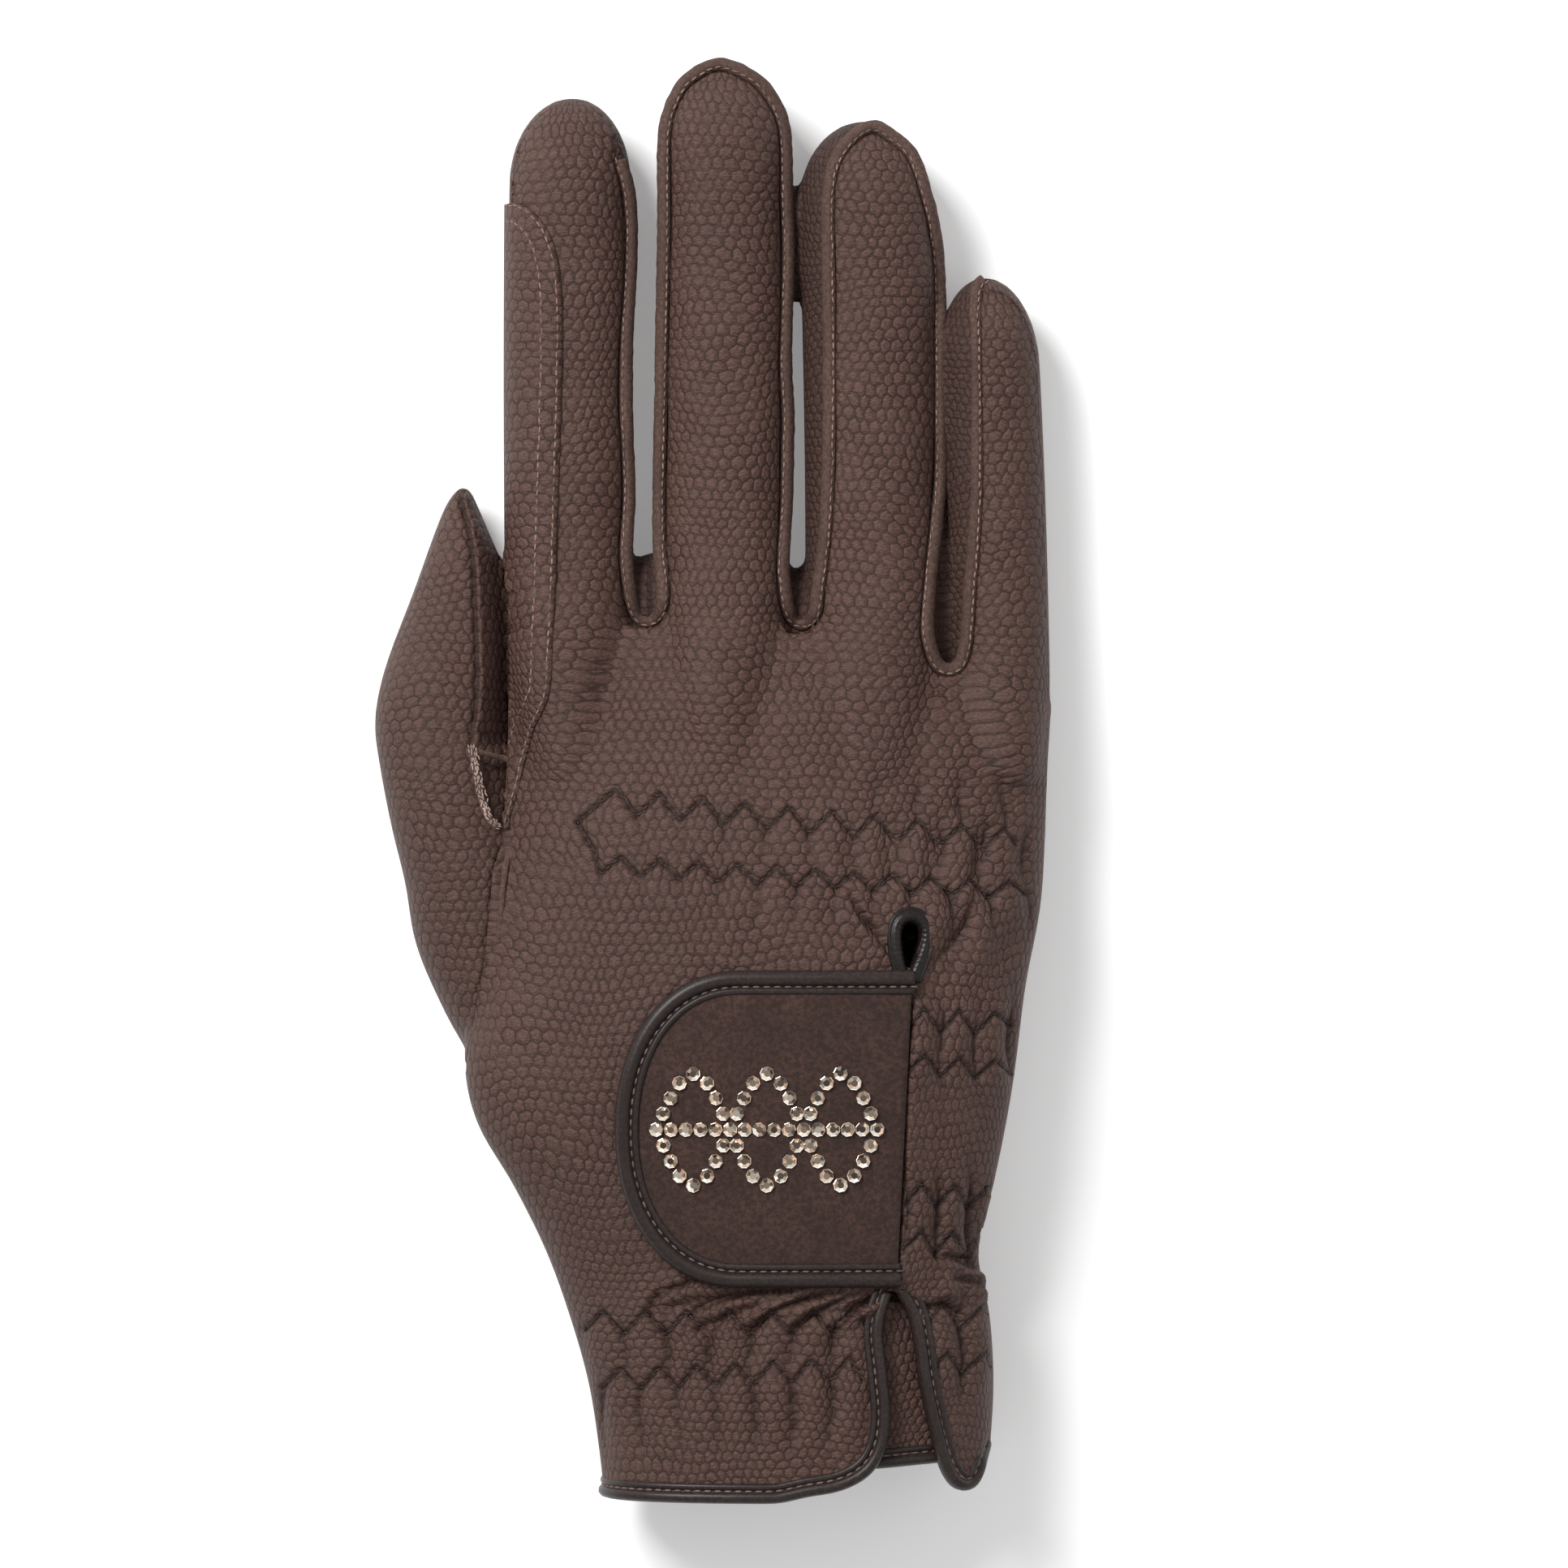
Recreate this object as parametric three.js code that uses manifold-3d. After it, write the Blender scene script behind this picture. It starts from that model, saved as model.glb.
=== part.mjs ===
// Riding glove for a right hand, lying palm down, with its fingers along +Y and its thumb on the -X side.
import * as THREE from 'three';
import { mergeVertices } from 'three/addons/utils/BufferGeometryUtils.js';
import Module from 'manifold-3d';

const wasm = await Module();
wasm.setup();

// Driving dimensions, in millimetres.
const bodyLength = 150.5;
const bodyWidth = 94.5;
const bodyHeight = 32;
const wall = 1.4;
const seamGap = 0.3;
const patchThickness = 0.9;
const sideSeamHeight = 12.6;
const palmSeamHeight = 4.4;
const thumbLength = 98.5;
const thumbWidth = 24;
const thumbHeight = 22;
const crotchBow = 16;
const palmHemRise = 6;
const bindingWidth = 3.4;
const bindingThickness = 2.6;
const slitBindingWidth = 2.2;
const strapLength = 48;
const strapWidth = 54;
const strapThickness = 1.4;
const strapBindingWidth = 4.2;
const strapBindingThickness = 2.9;
const stoneWidth = 2.6;
const stonePitch = 3;
const stoneHeight = 1.1;
const tipLength = 15;
const gatherPitch = 7;
const floorBite = 0.7;
const reliefRoom = 0.9;

// One row a finger: where its tip and root lie across and along the hand, its width, height and sideways bow.
const fingers = [
  { name: 'index', tipX: -35.7, rootX: -35.2, tipY: 241, width: 21.7, height: 17.6, bow: -0.5 },
  { name: 'middle', tipX: -9.9, rootX: -9.8, tipY: 247.5, width: 23.3, height: 18.0, bow: 0.4 },
  { name: 'ring', tipX: 14.9, rootX: 16.4, tipY: 237, width: 23.8, height: 17.8, bow: 0.6 },
  { name: 'little', tipX: 35.6, rootX: 38.3, tipY: 210, width: 17.4, height: 16.4, bow: 0.6 },
];

// The hand's body from the hem to the finger roots: shares of its length, width and height.
const bodyRows = [
  { along: 0.0, left: -0.32, right: 0.378, height: 0.96 },
  { along: 0.056, left: -0.329, right: 0.385, height: 0.96 },
  { along: 0.13, left: -0.348, right: 0.391, height: 0.96 },
  { along: 0.205, left: -0.382, right: 0.384, height: 0.95 },
  { along: 0.279, left: -0.425, right: 0.363, height: 0.94 },
  { along: 0.353, left: -0.483, right: 0.39, height: 0.96 },
  { along: 0.428, left: -0.55, right: 0.413, height: 0.98 },
  { along: 0.502, left: -0.573, right: 0.43, height: 1.0 },
  { along: 0.614, left: -0.556, right: 0.449, height: 0.97 },
  { along: 0.726, left: -0.533, right: 0.476, height: 0.9 },
  { along: 0.8, left: -0.516, right: 0.484, height: 0.82 },
  { along: 0.902, left: -0.498, right: 0.49, height: 0.71 },
  { along: 1.0, left: -0.492, right: 0.499, height: 0.56 },
];

// The thumb from its tip to the wrist: shares of its length, width and height.
const thumbRows = [
  { along: 0.0, left: -2.255, right: -2.255, height: 0.05 },
  { along: 0.015, left: -2.33, right: -2.18, height: 0.3 },
  { along: 0.045, left: -2.42, right: -2.125, height: 0.48 },
  { along: 0.11, left: -2.52, right: -2.07, height: 0.66 },
  { along: 0.2, left: -2.65, right: -2.04, height: 0.77 },
  { along: 0.33, left: -2.845, right: -2.035, height: 0.87 },
  { along: 0.42, left: -2.91, right: -2.02, height: 0.92 },
  { along: 0.5, left: -2.87, right: -1.99, height: 0.96 },
  { along: 0.6, left: -2.79, right: -1.86, height: 1.0 },
  { along: 0.7, left: -2.69, right: -1.75, height: 1.02 },
  { along: 0.81, left: -2.61, right: -1.6, height: 1.0 },
  { along: 0.93, left: -2.4, right: -1.45, height: 0.94 },
  { along: 1.0, left: -2.24, right: -1.4, height: 0.8 },
];

// The seam where the thumb is set in, from under its tip to the wrist: shares of the body's length and width.
const thumbSeam = [
  { along: 1.2, across: -0.512 },
  { along: 0.875, across: -0.509 },
  { along: 0.755, across: -0.502 },
  { along: 0.725, across: -0.515 },
  { along: 0.614, across: -0.533 },
  { along: 0.54, across: -0.553 },
  { along: 0.492, across: -0.568 },
];

// The wrist slit's two edges on the back, from the hem up: shares of the body's length and width.
const slitRows = [
  { along: -0.02, left: 0.0, right: 0.35 },
  { along: 0.004, left: 0.037, right: 0.335 },
  { along: 0.013, left: 0.111, right: 0.315 },
  { along: 0.033, left: 0.17, right: 0.29 },
  { along: 0.059, left: 0.2, right: 0.276 },
  { along: 0.132, left: 0.197, right: 0.253 },
  { along: 0.188, left: 0.19, right: 0.24 },
  { along: 0.232, left: 0.2, right: 0.216 },
  { along: 0.4, left: 0.204, right: 0.22 },
  { along: 0.56, left: 0.214, right: 0.236 },
  { along: 0.63, left: 0.216, right: 0.254 },
  { along: 0.66, left: 0.227, right: 0.243 },
];

// Elastic rows on the back: where each starts and ends, and how deep it pulls, as shares of the body's sizes.
const elasticRows = [
  { fromX: -0.36, toX: 0.45, fromY: 0.795, toY: 0.749, depth: 0.03, gather: 0.02 },
  { fromX: -0.32, toX: 0.43, fromY: 0.717, toY: 0.697, depth: 0.03, gather: 0.02 },
  { fromX: 0.26, toX: 0.42, fromY: 0.54, toY: 0.53, depth: 0.025, gather: 0.018 },
  { fromX: 0.26, toX: 0.42, fromY: 0.49, toY: 0.475, depth: 0.025, gather: 0.018 },
  { fromX: 0.25, toX: 0.38, fromY: 0.34, toY: 0.33, depth: 0.025, gather: 0.018 },
  { fromX: 0.25, toX: 0.37, fromY: 0.29, toY: 0.285, depth: 0.03, gather: 0.018 },
  { fromX: -0.34, toX: 0.18, fromY: 0.202, toY: 0.21, depth: 0.03, gather: 0.025 },
  { fromX: -0.31, toX: 0.16, fromY: 0.133, toY: 0.15, depth: 0.03, gather: 0.025 },
];

// Folds on the back, each from one end to the other with its height and width, as shares of the body's sizes.
const foldRows = [
  { fromX: 0.13, fromY: 0.68, toX: 0.235, toY: 0.655, height: 0.03, width: 0.028 },
  { fromX: 0.4, fromY: 0.66, toX: 0.27, toY: 0.64, height: 0.03, width: 0.028 },
  { fromX: -0.23, fromY: 0.18, toX: 0.15, toY: 0.235, height: 0.035, width: 0.026 },
  { fromX: 0.3, fromY: 0.25, toX: 0.37, toY: 0.265, height: 0.05, width: 0.03 },
];

// Leather and stone colours.
const grainedBrown = 0x58423a;
const darkBrown = 0x423836;
const suedeBrown = 0x48342d;
const crystalColour = 0xeadfd2;

function leather(color, roughness) {
  return new THREE.MeshStandardMaterial({ color, roughness, metalness: 0 });
}

// A smooth value between the rows of a table, by the share along it.
function along(rows, key, share) {
  const last = rows.length - 1;
  let i = 0;
  while (i < last - 1 && share > rows[i + 1].along) i += 1;
  const [a, b] = [rows[i], rows[i + 1]];
  const before = rows[Math.max(i - 1, 0)];
  const after = rows[Math.min(i + 2, last)];
  const span = b.along - a.along;
  const t = THREE.MathUtils.clamp((share - a.along) / span, 0, 1);
  const slopeA = (b[key] - before[key]) / (b.along - before.along) * span;
  const slopeB = (after[key] - a[key]) / (after.along - a.along) * span;
  const ease = t * t * (3 - 2 * t);
  return a[key] + (b[key] - a[key]) * ease
    + slopeA * t * (1 - t) * (1 - t) - slopeB * t * t * (1 - t);
}

// The share of the body's width at which the finger roots stand furthest forward.
const bowMiddle = -0.16;

// How far the finger roots' line falls back at a place across the body.
function rootBow(x) {
  const share = (x - bowMiddle * bodyWidth) / (bodyWidth / 2);
  return (crotchBow / 2) * share * share;
}

// The share of an elastic row's or fold's line that lies nearest to a point, and the distance to it.
function nearLine(row, x, y) {
  const [ax, ay] = [row.fromX * bodyWidth, row.fromY * bodyLength];
  const [bx, by] = [row.toX * bodyWidth, row.toY * bodyLength];
  const length = Math.hypot(bx - ax, by - ay);
  const t = ((x - ax) * (bx - ax) + (y - ay) * (by - ay)) / (length * length);
  const held = THREE.MathUtils.clamp(t, 0, 1);
  return { held, distance: Math.hypot(x - ax - held * (bx - ax), y - ay - held * (by - ay)) };
}

// How far to each side an elastic row pulls the leather down.
const pullReach = gatherPitch * 0.4;

// The rise and fall of the back where elastic gathers it and where it folds.
function relief(x, y) {
  let rise = 0;
  for (const row of elasticRows) {
    const { distance } = nearLine(row, x, y);
    const pull = Math.exp(-((distance / pullReach) ** 2));
    const spread = Math.exp(-((distance / gatherPitch) ** 2));
    rise -= row.depth * bodyHeight * pull;
    rise += row.gather * bodyHeight * spread * Math.cos((2 * Math.PI * x) / gatherPitch);
  }
  for (const row of foldRows) {
    const { held, distance } = nearLine(row, x, y);
    const swell = Math.sin(Math.PI * THREE.MathUtils.clamp(held, 0.1, 0.9));
    rise += row.height * bodyHeight * swell * Math.exp(-((distance / (row.width * bodyWidth)) ** 2));
  }
  return rise;
}

// A closed skin through rings of points that run the same way round, its ends capped in strips across.
function skin(rings) {
  const count = rings[0].length;
  const points = rings.flat();
  const faces = [];
  for (let r = 0; r + 1 < rings.length; r += 1) {
    for (let k = 0; k < count; k += 1) {
      const next = (k + 1) % count;
      const [a, b] = [r * count + k, r * count + next];
      const [c, d] = [a + count, b + count];
      faces.push(a, b, d, a, d, c);
    }
  }
  for (const [ring, flip] of [[0, true], [rings.length - 1, false]]) {
    for (let k = 0; k + 1 < count / 2; k += 1) {
      const [a, b] = [ring * count + k, ring * count + k + 1];
      const [c, d] = [(ring + 1) * count - 2 - k, (ring + 1) * count - 1 - k];
      faces.push(...(flip ? [a, d, b, b, d, c] : [a, b, d, b, c, d]));
    }
  }
  const geometry = new THREE.BufferGeometry().setFromPoints(points);
  geometry.setIndex(faces);
  return geometry;
}

// A geometry as a solid that can be cut and joined, turned the right way out.
function solid(geometry) {
  const bare = geometry.clone();
  bare.deleteAttribute('normal');
  bare.deleteAttribute('uv');
  const merged = mergeVertices(bare, 1e-4);
  const vertProperties = new Float32Array(merged.attributes.position.array);
  const triVerts = new Uint32Array(merged.index.array);
  const made = new wasm.Manifold(new wasm.Mesh({ numProp: 3, vertProperties, triVerts }));
  if (made.volume() > 0) return made;
  return new wasm.Manifold(new wasm.Mesh({ numProp: 3, vertProperties, triVerts: triVerts.toReversed() }));
}

function geometryOf(manifold) {
  const pieces = manifold.decompose().sort((a, b) => b.volume() - a.volume());
  const mesh = pieces[0].getMesh();
  const geometry = new THREE.BufferGeometry();
  geometry.setAttribute('position', new THREE.BufferAttribute(new Float32Array(mesh.vertProperties), 3));
  geometry.setIndex(new THREE.BufferAttribute(new Uint32Array(mesh.triVerts), 1));
  return geometry;
}

// One ring across the hand: a rounded section from left to right, flat where it rests.
function sectionRing({ left, right, middle, halfHeight, y, power, sides, grow }) {
  const ring = [];
  const floor = -grow;
  const [halfWidth, halfTall] = [(right - left) / 2 + grow, halfHeight + grow];
  for (let k = 0; k < sides; k += 1) {
    const angle = (2 * Math.PI * (k + 0.5)) / sides;
    const [c, s] = [Math.cos(angle), Math.sin(angle)];
    const x = (left + right) / 2 + halfWidth * Math.sign(c) * Math.abs(c) ** (2 / power);
    const z = middle + halfTall * Math.sign(s) * Math.abs(s) ** (2 / power);
    ring.push(new THREE.Vector3(x, y(x), Math.max(z, floor)));
  }
  return ring;
}

// How square the body's section is, where up its height it is widest, where the roots' bow starts,
// and over what share of the half height the relief comes in.
const bodyPower = 2.5;
const bodyMiddle = 0.45;
const bowStart = 0.3;
const reliefEase = 0.6;

function bodySection(share) {
  const height = along(bodyRows, 'height', share) * bodyHeight;
  const middle = bodyMiddle * height;
  return {
    left: along(bodyRows, 'left', share) * bodyWidth,
    right: along(bodyRows, 'right', share) * bodyWidth,
    middle,
    top: height,
    halfHeight: height - middle,
  };
}

// The height of the back's smooth outside over a place on the body.
function bodyTop(x, y) {
  const share = y / bodyLength;
  const { left, right, middle, top } = bodySection(share);
  const across = Math.min(Math.abs((2 * x - left - right) / (right - left)), 0.999);
  return middle + (top - middle) * (1 - across ** bodyPower) ** (1 / bodyPower);
}

function bodySolid({ grow, sides, shares, hemEnd, rootEnd }) {
  const rings = shares.map((share) => {
    const bend = THREE.MathUtils.smoothstep(share, bowStart, 1);
    const held = share === 0 ? hemEnd : share * bodyLength;
    const push = share === 1 ? rootEnd : 0;
    const ring = sectionRing({
      ...bodySection(share),
      y: (x) => held + push - bend * rootBow(x),
      power: bodyPower,
      sides,
      grow,
    });
    const { middle } = bodySection(share);
    for (const p of ring) {
      if (p.z > middle) {
        const rise = grow < 0 ? -reliefRoom : relief(p.x, p.y);
        p.z += rise * THREE.MathUtils.smoothstep(p.z - middle, 0, middle * reliefEase);
      }
    }
    return ring;
  });
  return solid(skin(rings));
}

// Where the fingers start in the body, how much narrower they are there, and over what shares of
// their length they widen and sink.
const rootShare = 0.82;
const rootTaper = 0.16;
const taperReach = 0.2;
const sinkReach = 0.42;
const tipTurn = 0.97;
const digitPower = 2.3;

function fingerSolid(finger, { grow, sides, steps, tipSteps }) {
  const rootY = rootShare * bodyLength;
  const rootHeight = bodyTop(finger.rootX, rootY) - wall / 2;
  const length = finger.tipY + grow - rootY;
  const bare = length - tipLength - grow;
  const stations = [];
  for (let i = 0; i < steps; i += 1) stations.push((bare * i) / steps);
  for (let i = 0; i <= tipSteps; i += 1) {
    stations.push(bare + (length - bare) * Math.sin((Math.PI / 2) * (i / tipSteps) * tipTurn));
  }
  const rings = stations.map((station) => {
    const past = Math.max(station - bare, 0) / (length - bare);
    const round = Math.sqrt(1 - past * past);
    const share = station / length;
    const fall = 1 - THREE.MathUtils.smoothstep(share, 0, sinkReach);
    const height = finger.height + (rootHeight - finger.height) * fall;
    const lean = finger.rootX + (finger.tipX - finger.rootX) * share;
    const centre = lean + finger.bow * Math.sin(Math.PI * share);
    const taper = 1 - THREE.MathUtils.smoothstep(share, 0, taperReach);
    const half = (finger.width / 2) * (1 - rootTaper * taper);
    const ring = sectionRing({
      left: centre - half,
      right: centre + half,
      middle: height / 2,
      halfHeight: height / 2 + floorBite * (1 - past),
      y: () => rootY + station,
      power: digitPower,
      sides,
      grow,
    });
    ring.forEach((p) => {
      p.x = centre + (p.x - centre) * round;
      p.z = height / 2 + (p.z - height / 2) * round;
    });
    return ring;
  });
  return solid(skin(rings));
}

// How much of the thumb lies beyond the fingers' start, and how its tip lifts off the surface.
const thumbBeyond = 0.517;
const thumbTipLevel = 0.3;
const thumbTipReach = 0.11;
const thumbFlatFrom = 0.05;

function thumbSolid({ grow, sides, shares }) {
  const tipY = rootShare * bodyLength + thumbLength * thumbBeyond;
  const rings = shares.map((share) => {
    const height = along(thumbRows, 'height', share) * thumbHeight;
    const [left, right] = ['left', 'right'].map((key) => along(thumbRows, key, share) * thumbWidth);
    const narrow = Math.min(grow, 0) * (share === 0 ? 0 : 1) + Math.max(grow, 0);
    const lifted = thumbHeight * thumbTipLevel;
    const middle = lifted + (height / 2 - lifted) * Math.min(share / thumbTipReach, 1);
    return sectionRing({
      left,
      right,
      middle: Math.max(middle, height / 2),
      halfHeight: height / 2 + (share > thumbFlatFrom ? floorBite : 0),
      y: () => tipY + grow * (1 - share) - share * thumbLength,
      power: digitPower,
      sides,
      grow: narrow,
    });
  });
  return solid(skin(rings));
}

// A prism over an outline of [x, y] corners, from one height to another.
function prism(corners, low, high) {
  const shape = new THREE.Shape(corners.map(([x, y]) => new THREE.Vector2(x, y)));
  const geometry = new THREE.ExtrudeGeometry(shape, { depth: high - low, bevelEnabled: false });
  geometry.translate(0, 0, low);
  return solid(geometry);
}

const bodyShares = [
  0, 0.06, 0.1, 0.13, 0.155, 0.18, 0.205, 0.23, 0.26, 0.31, 0.37, 0.43, 0.48, 0.54,
  0.6, 0.65, 0.675, 0.7, 0.725, 0.75, 0.775, 0.8, 0.84, 0.92, 1,
];
const innerShares = [0, 0.13, 0.28, 0.42, 0.55, 0.67, 0.8, 0.9, 1];
const thumbShares = thumbRows.map((row) => row.along);
const outerFinger = { sides: 14, steps: 4, tipSteps: 4 };
const innerFinger = { sides: 10, steps: 3, tipSteps: 3 };

// The whole hand, grown outwards or shrunk inwards, as one solid.
function hand(grow) {
  const hollow = grow < 0;
  const hemEnd = hollow ? -bindingWidth : bindingWidth + seamGap;
  const shares = hollow ? innerShares : bodyShares;
  let whole = bodySolid({ grow, sides: hollow ? 18 : 32, shares, hemEnd, rootEnd: grow });
  for (const finger of fingers) {
    whole = whole.add(fingerSolid(finger, hollow ? { grow, ...innerFinger } : { grow, ...outerFinger }));
  }
  return whole.add(thumbSolid({ grow, sides: hollow ? 12 : 16, shares: thumbShares }));
}

const far = 400;
const half = seamGap / 2;
const outside = hand(0);
const shell = outside.subtract(hand(-wall));
const [slabLow, slabHigh] = [[[-far, -far], [far, -far], [far, far], [-far, far]], far];
const aboveSideSeam = prism(slabLow, sideSeamHeight + half, slabHigh);
const belowSideSeam = prism(slabLow, -far, sideSeamHeight - half);

function thumbCut(clearance) {
  const seam = thumbSeam.map((row) => [row.across * bodyWidth + clearance, row.along * bodyLength]);
  const end = seam[seam.length - 1][1] - clearance;
  seam[seam.length - 1][1] = end;
  return prism([...seam, [-far, end], [-far, seam[0][1]]], -far, far);
}

function fingerAxis(finger, y) {
  const rootY = rootShare * bodyLength;
  const share = THREE.MathUtils.clamp((y - rootY) / (finger.tipY - rootY), 0, 1);
  return finger.rootX + (finger.tipX - finger.rootX) * share + finger.bow * Math.sin(Math.PI * share);
}

// The room between two neighbouring fingers' middles, where the side strip between them lies.
function betweenFingers(one, other, clearance) {
  const steps = [0, 0.25, 0.5, 0.75, 1];
  const start = bodyLength - rootBow((one.rootX + other.rootX) / 2) - wall * 2;
  const reach = Math.max(one.tipY, other.tipY) + wall - start;
  const side = (finger, inwards) => steps.map((step) => {
    const y = start + (step === 0 ? clearance : 0) + reach * step;
    return [fingerAxis(finger, y) + inwards * clearance, y];
  });
  const corners = [...side(one, 1), ...side(other, -1).reverse()];
  return prism(corners, palmSeamHeight + clearance, sideSeamHeight - clearance);
}

// The slit in the back, from the hem up to the wrist.
function slitCut() {
  const left = slitRows.map((row) => [row.left * bodyWidth, row.along * bodyLength]);
  const right = slitRows.map((row) => [row.right * bodyWidth, row.along * bodyLength]);
  return prism([...right, ...left.reverse()], sideSeamHeight, far);
}

// A point on the middle of the wall at the hem, by its angle round the wrist from the right.
function hemPoint(angle) {
  const { left, right, middle, halfHeight } = bodySection(0);
  const [c, s] = [Math.cos(angle), Math.sin(angle)];
  const power = 2 / bodyPower;
  const x = (left + right) / 2 + ((right - left) / 2 - wall / 2) * Math.sign(c) * Math.abs(c) ** power;
  const z = middle + (halfHeight - wall / 2) * Math.sign(s) * Math.abs(s) ** power;
  const rise = palmHemRise * Math.max(-s, 0) ** 1.5;
  const facing = 2 - power;
  const normal = new THREE.Vector3(
    Math.sign(c) * Math.abs(c) ** facing,
    0,
    Math.sign(s) * Math.abs(s) ** facing,
  );
  return {
    point: new THREE.Vector3(x, rise + bindingWidth / 2, Math.max(z, bindingThickness / 2)),
    normal: z > bindingThickness / 2 ? normal.normalize() : new THREE.Vector3(0, 0, -1),
  };
}

// A point on the middle of the back's wall, with the way that faces out.
function backPoint(x, y) {
  const step = 0.5;
  const height = (u) => bodyTop(u, y);
  const normal = new THREE.Vector3(height(x - step) - height(x + step), 0, 2 * step).normalize();
  return { point: new THREE.Vector3(x, y, height(x) + relief(x, y) - wall / 2), normal };
}

// A rounded tape along a path of points that carry the way out of the surface.
function tape(path, width, thickness, grow = 0) {
  const profile = [[1, 0.5], [0.6, 1], [-0.6, 1], [-1, 0.5], [-1, -0.5], [-0.6, -1], [0.6, -1], [1, -0.5]];
  const rings = path.map(({ point, normal }, i) => {
    const before = path[Math.max(i - 1, 0)].point;
    const after = path[Math.min(i + 1, path.length - 1)].point;
    const tangent = after.clone().sub(before).normalize();
    const out = normal.clone().addScaledVector(tangent, -normal.dot(tangent)).normalize();
    const side = tangent.clone().cross(out);
    const end = (i === 0 ? -grow : 0) + (i === path.length - 1 ? grow : 0);
    return profile.map(([u, v]) => point.clone()
      .addScaledVector(side, u * (width / 2 + grow))
      .addScaledVector(out, v * (thickness / 2 + grow))
      .addScaledVector(tangent, end));
  });
  return solid(skin(rings));
}

// A flat line moved to its right-hand side as it is followed.
function movedRight(line, distance) {
  return line.map(([x, y], i) => {
    const [ax, ay] = line[Math.max(i - 1, 0)];
    const [bx, by] = line[Math.min(i + 1, line.length - 1)];
    const length = Math.hypot(bx - ax, by - ay);
    return [x + ((by - ay) / length) * distance, y - ((bx - ax) / length) * distance];
  });
}

const boundRows = slitRows.slice(2, 8);

// The turns round the wrist, from its right side, at which the hem meets the slit's two edges.
const hemStart = 1.64;
const hemEnd = 2 * Math.PI + 0.52;

// The hem's path: down the slit's left edge, round the wrist and up its right edge.
function cuffPath() {
  const leftEdge = boundRows.map((row) => [row.left * bodyWidth, row.along * bodyLength]).reverse();
  const rightEdge = boundRows.map((row) => [row.right * bodyWidth, row.along * bodyLength]);
  const down = movedRight(leftEdge, bindingWidth / 2).map(([x, y]) => backPoint(x, y));
  const up = movedRight(rightEdge, bindingWidth / 2).map(([x, y]) => backPoint(x, y));
  const count = 26;
  const angle = (i) => hemStart + ((hemEnd - hemStart) * i) / count;
  const round = Array.from({ length: count + 1 }, (_, i) => hemPoint(angle(i)));
  return [...down, ...round, ...up];
}

function palmHemCut() {
  const count = 16;
  const line = Array.from({ length: count + 1 }, (_, i) => {
    const { point } = hemPoint(Math.PI * (1 + i / count));
    return [point.x, point.y + bindingWidth / 2 + seamGap];
  });
  const [first, last] = [line[0], line[count]];
  const outline = [[-far, -far], [far, -far], [far, last[1]], ...line.reverse(), [-far, first[1]]];
  return prism(outline, -far, sideSeamHeight);
}

// How far the teardrop's sides run down for its radius, and how slowly they leave its round top.
const teardropLength = 2.4;
const teardropPower = 2.5;

// The rolled edge round the top of the slit.
function slitTopPath() {
  const { left, right } = slitRows[slitRows.length - 2];
  const centre = ((left + right) / 2) * bodyWidth;
  const radius = ((right - left) / 2) * bodyWidth + slitBindingWidth / 2;
  const top = slitRows[slitRows.length - 1].along * bodyLength;
  const count = 14;
  return Array.from({ length: count + 1 }, (_, i) => {
    const turn = Math.PI * (1 - i / count);
    const drop = radius * teardropLength * Math.abs(Math.cos(turn)) ** teardropPower;
    return backPoint(centre + radius * Math.cos(turn), top - drop + slitBindingWidth / 2);
  });
}

const strapMiddleY = 0.423 * bodyLength;
const strapRightX = 0.214 * bodyWidth;
const strapRound = strapLength * 0.41;
const strapSlant = strapLength * 0.03;

// The tab's left edge at a place along the hand: straight at the sides and round at the end.
function strapLeft(y, inset) {
  const share = Math.min(Math.abs(y - strapMiddleY) / (strapWidth / 2 - inset), 1);
  const round = strapRound - inset;
  return strapRightX - strapLength + inset + round * (1 - Math.sqrt(1 - share * share));
}

function strapRight(y) {
  return strapRightX + ((y - strapMiddleY) / strapWidth) * 2 * strapSlant;
}

function strapUnder(x, y) {
  return bodyTop(x, y) + seamGap;
}

// A slab of the tab's outline that lies on the back.
function strapSlab({ inset, low, high, grow }) {
  const [rows, columns] = [14, 7];
  const reach = strapWidth / 2 - inset + grow;
  const rings = Array.from({ length: rows + 1 }, (_, i) => {
    const y = strapMiddleY - reach * Math.cos((Math.PI * i) / rows);
    const [left, right] = [strapLeft(y, inset - grow), strapRight(y) + grow];
    const across = Array.from({ length: columns + 1 }, (__, k) => left + ((right - left) * k) / columns);
    const level = (offset) => (x) => new THREE.Vector3(x, y, strapUnder(x, y) + offset);
    return [...across.map(level(low)), ...across.reverse().map(level(high))];
  });
  return solid(skin(rings));
}

function strapEdgePath() {
  const inset = strapBindingWidth / 2;
  const reach = strapWidth / 2 - inset;
  const count = 22;
  const points = [[strapRight(strapMiddleY + reach), strapMiddleY + reach]];
  for (let i = 0; i <= count; i += 1) {
    const y = strapMiddleY + reach * Math.cos((Math.PI * i) / count);
    points.push([strapLeft(y, inset), y]);
  }
  points.push([strapRight(strapMiddleY - reach), strapMiddleY - reach]);
  return points.map(([x, y]) => {
    const { normal } = backPoint(x, y);
    const lift = seamGap + strapBindingThickness / 2;
    const point = new THREE.Vector3(x, y, bodyTop(x, y)).addScaledVector(normal, lift);
    return { point, normal };
  });
}

const motifLength = 37.5;
const motifReach = 9.5;
const motifLobes = 3;
const motifX = -0.022 * bodyWidth;

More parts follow.
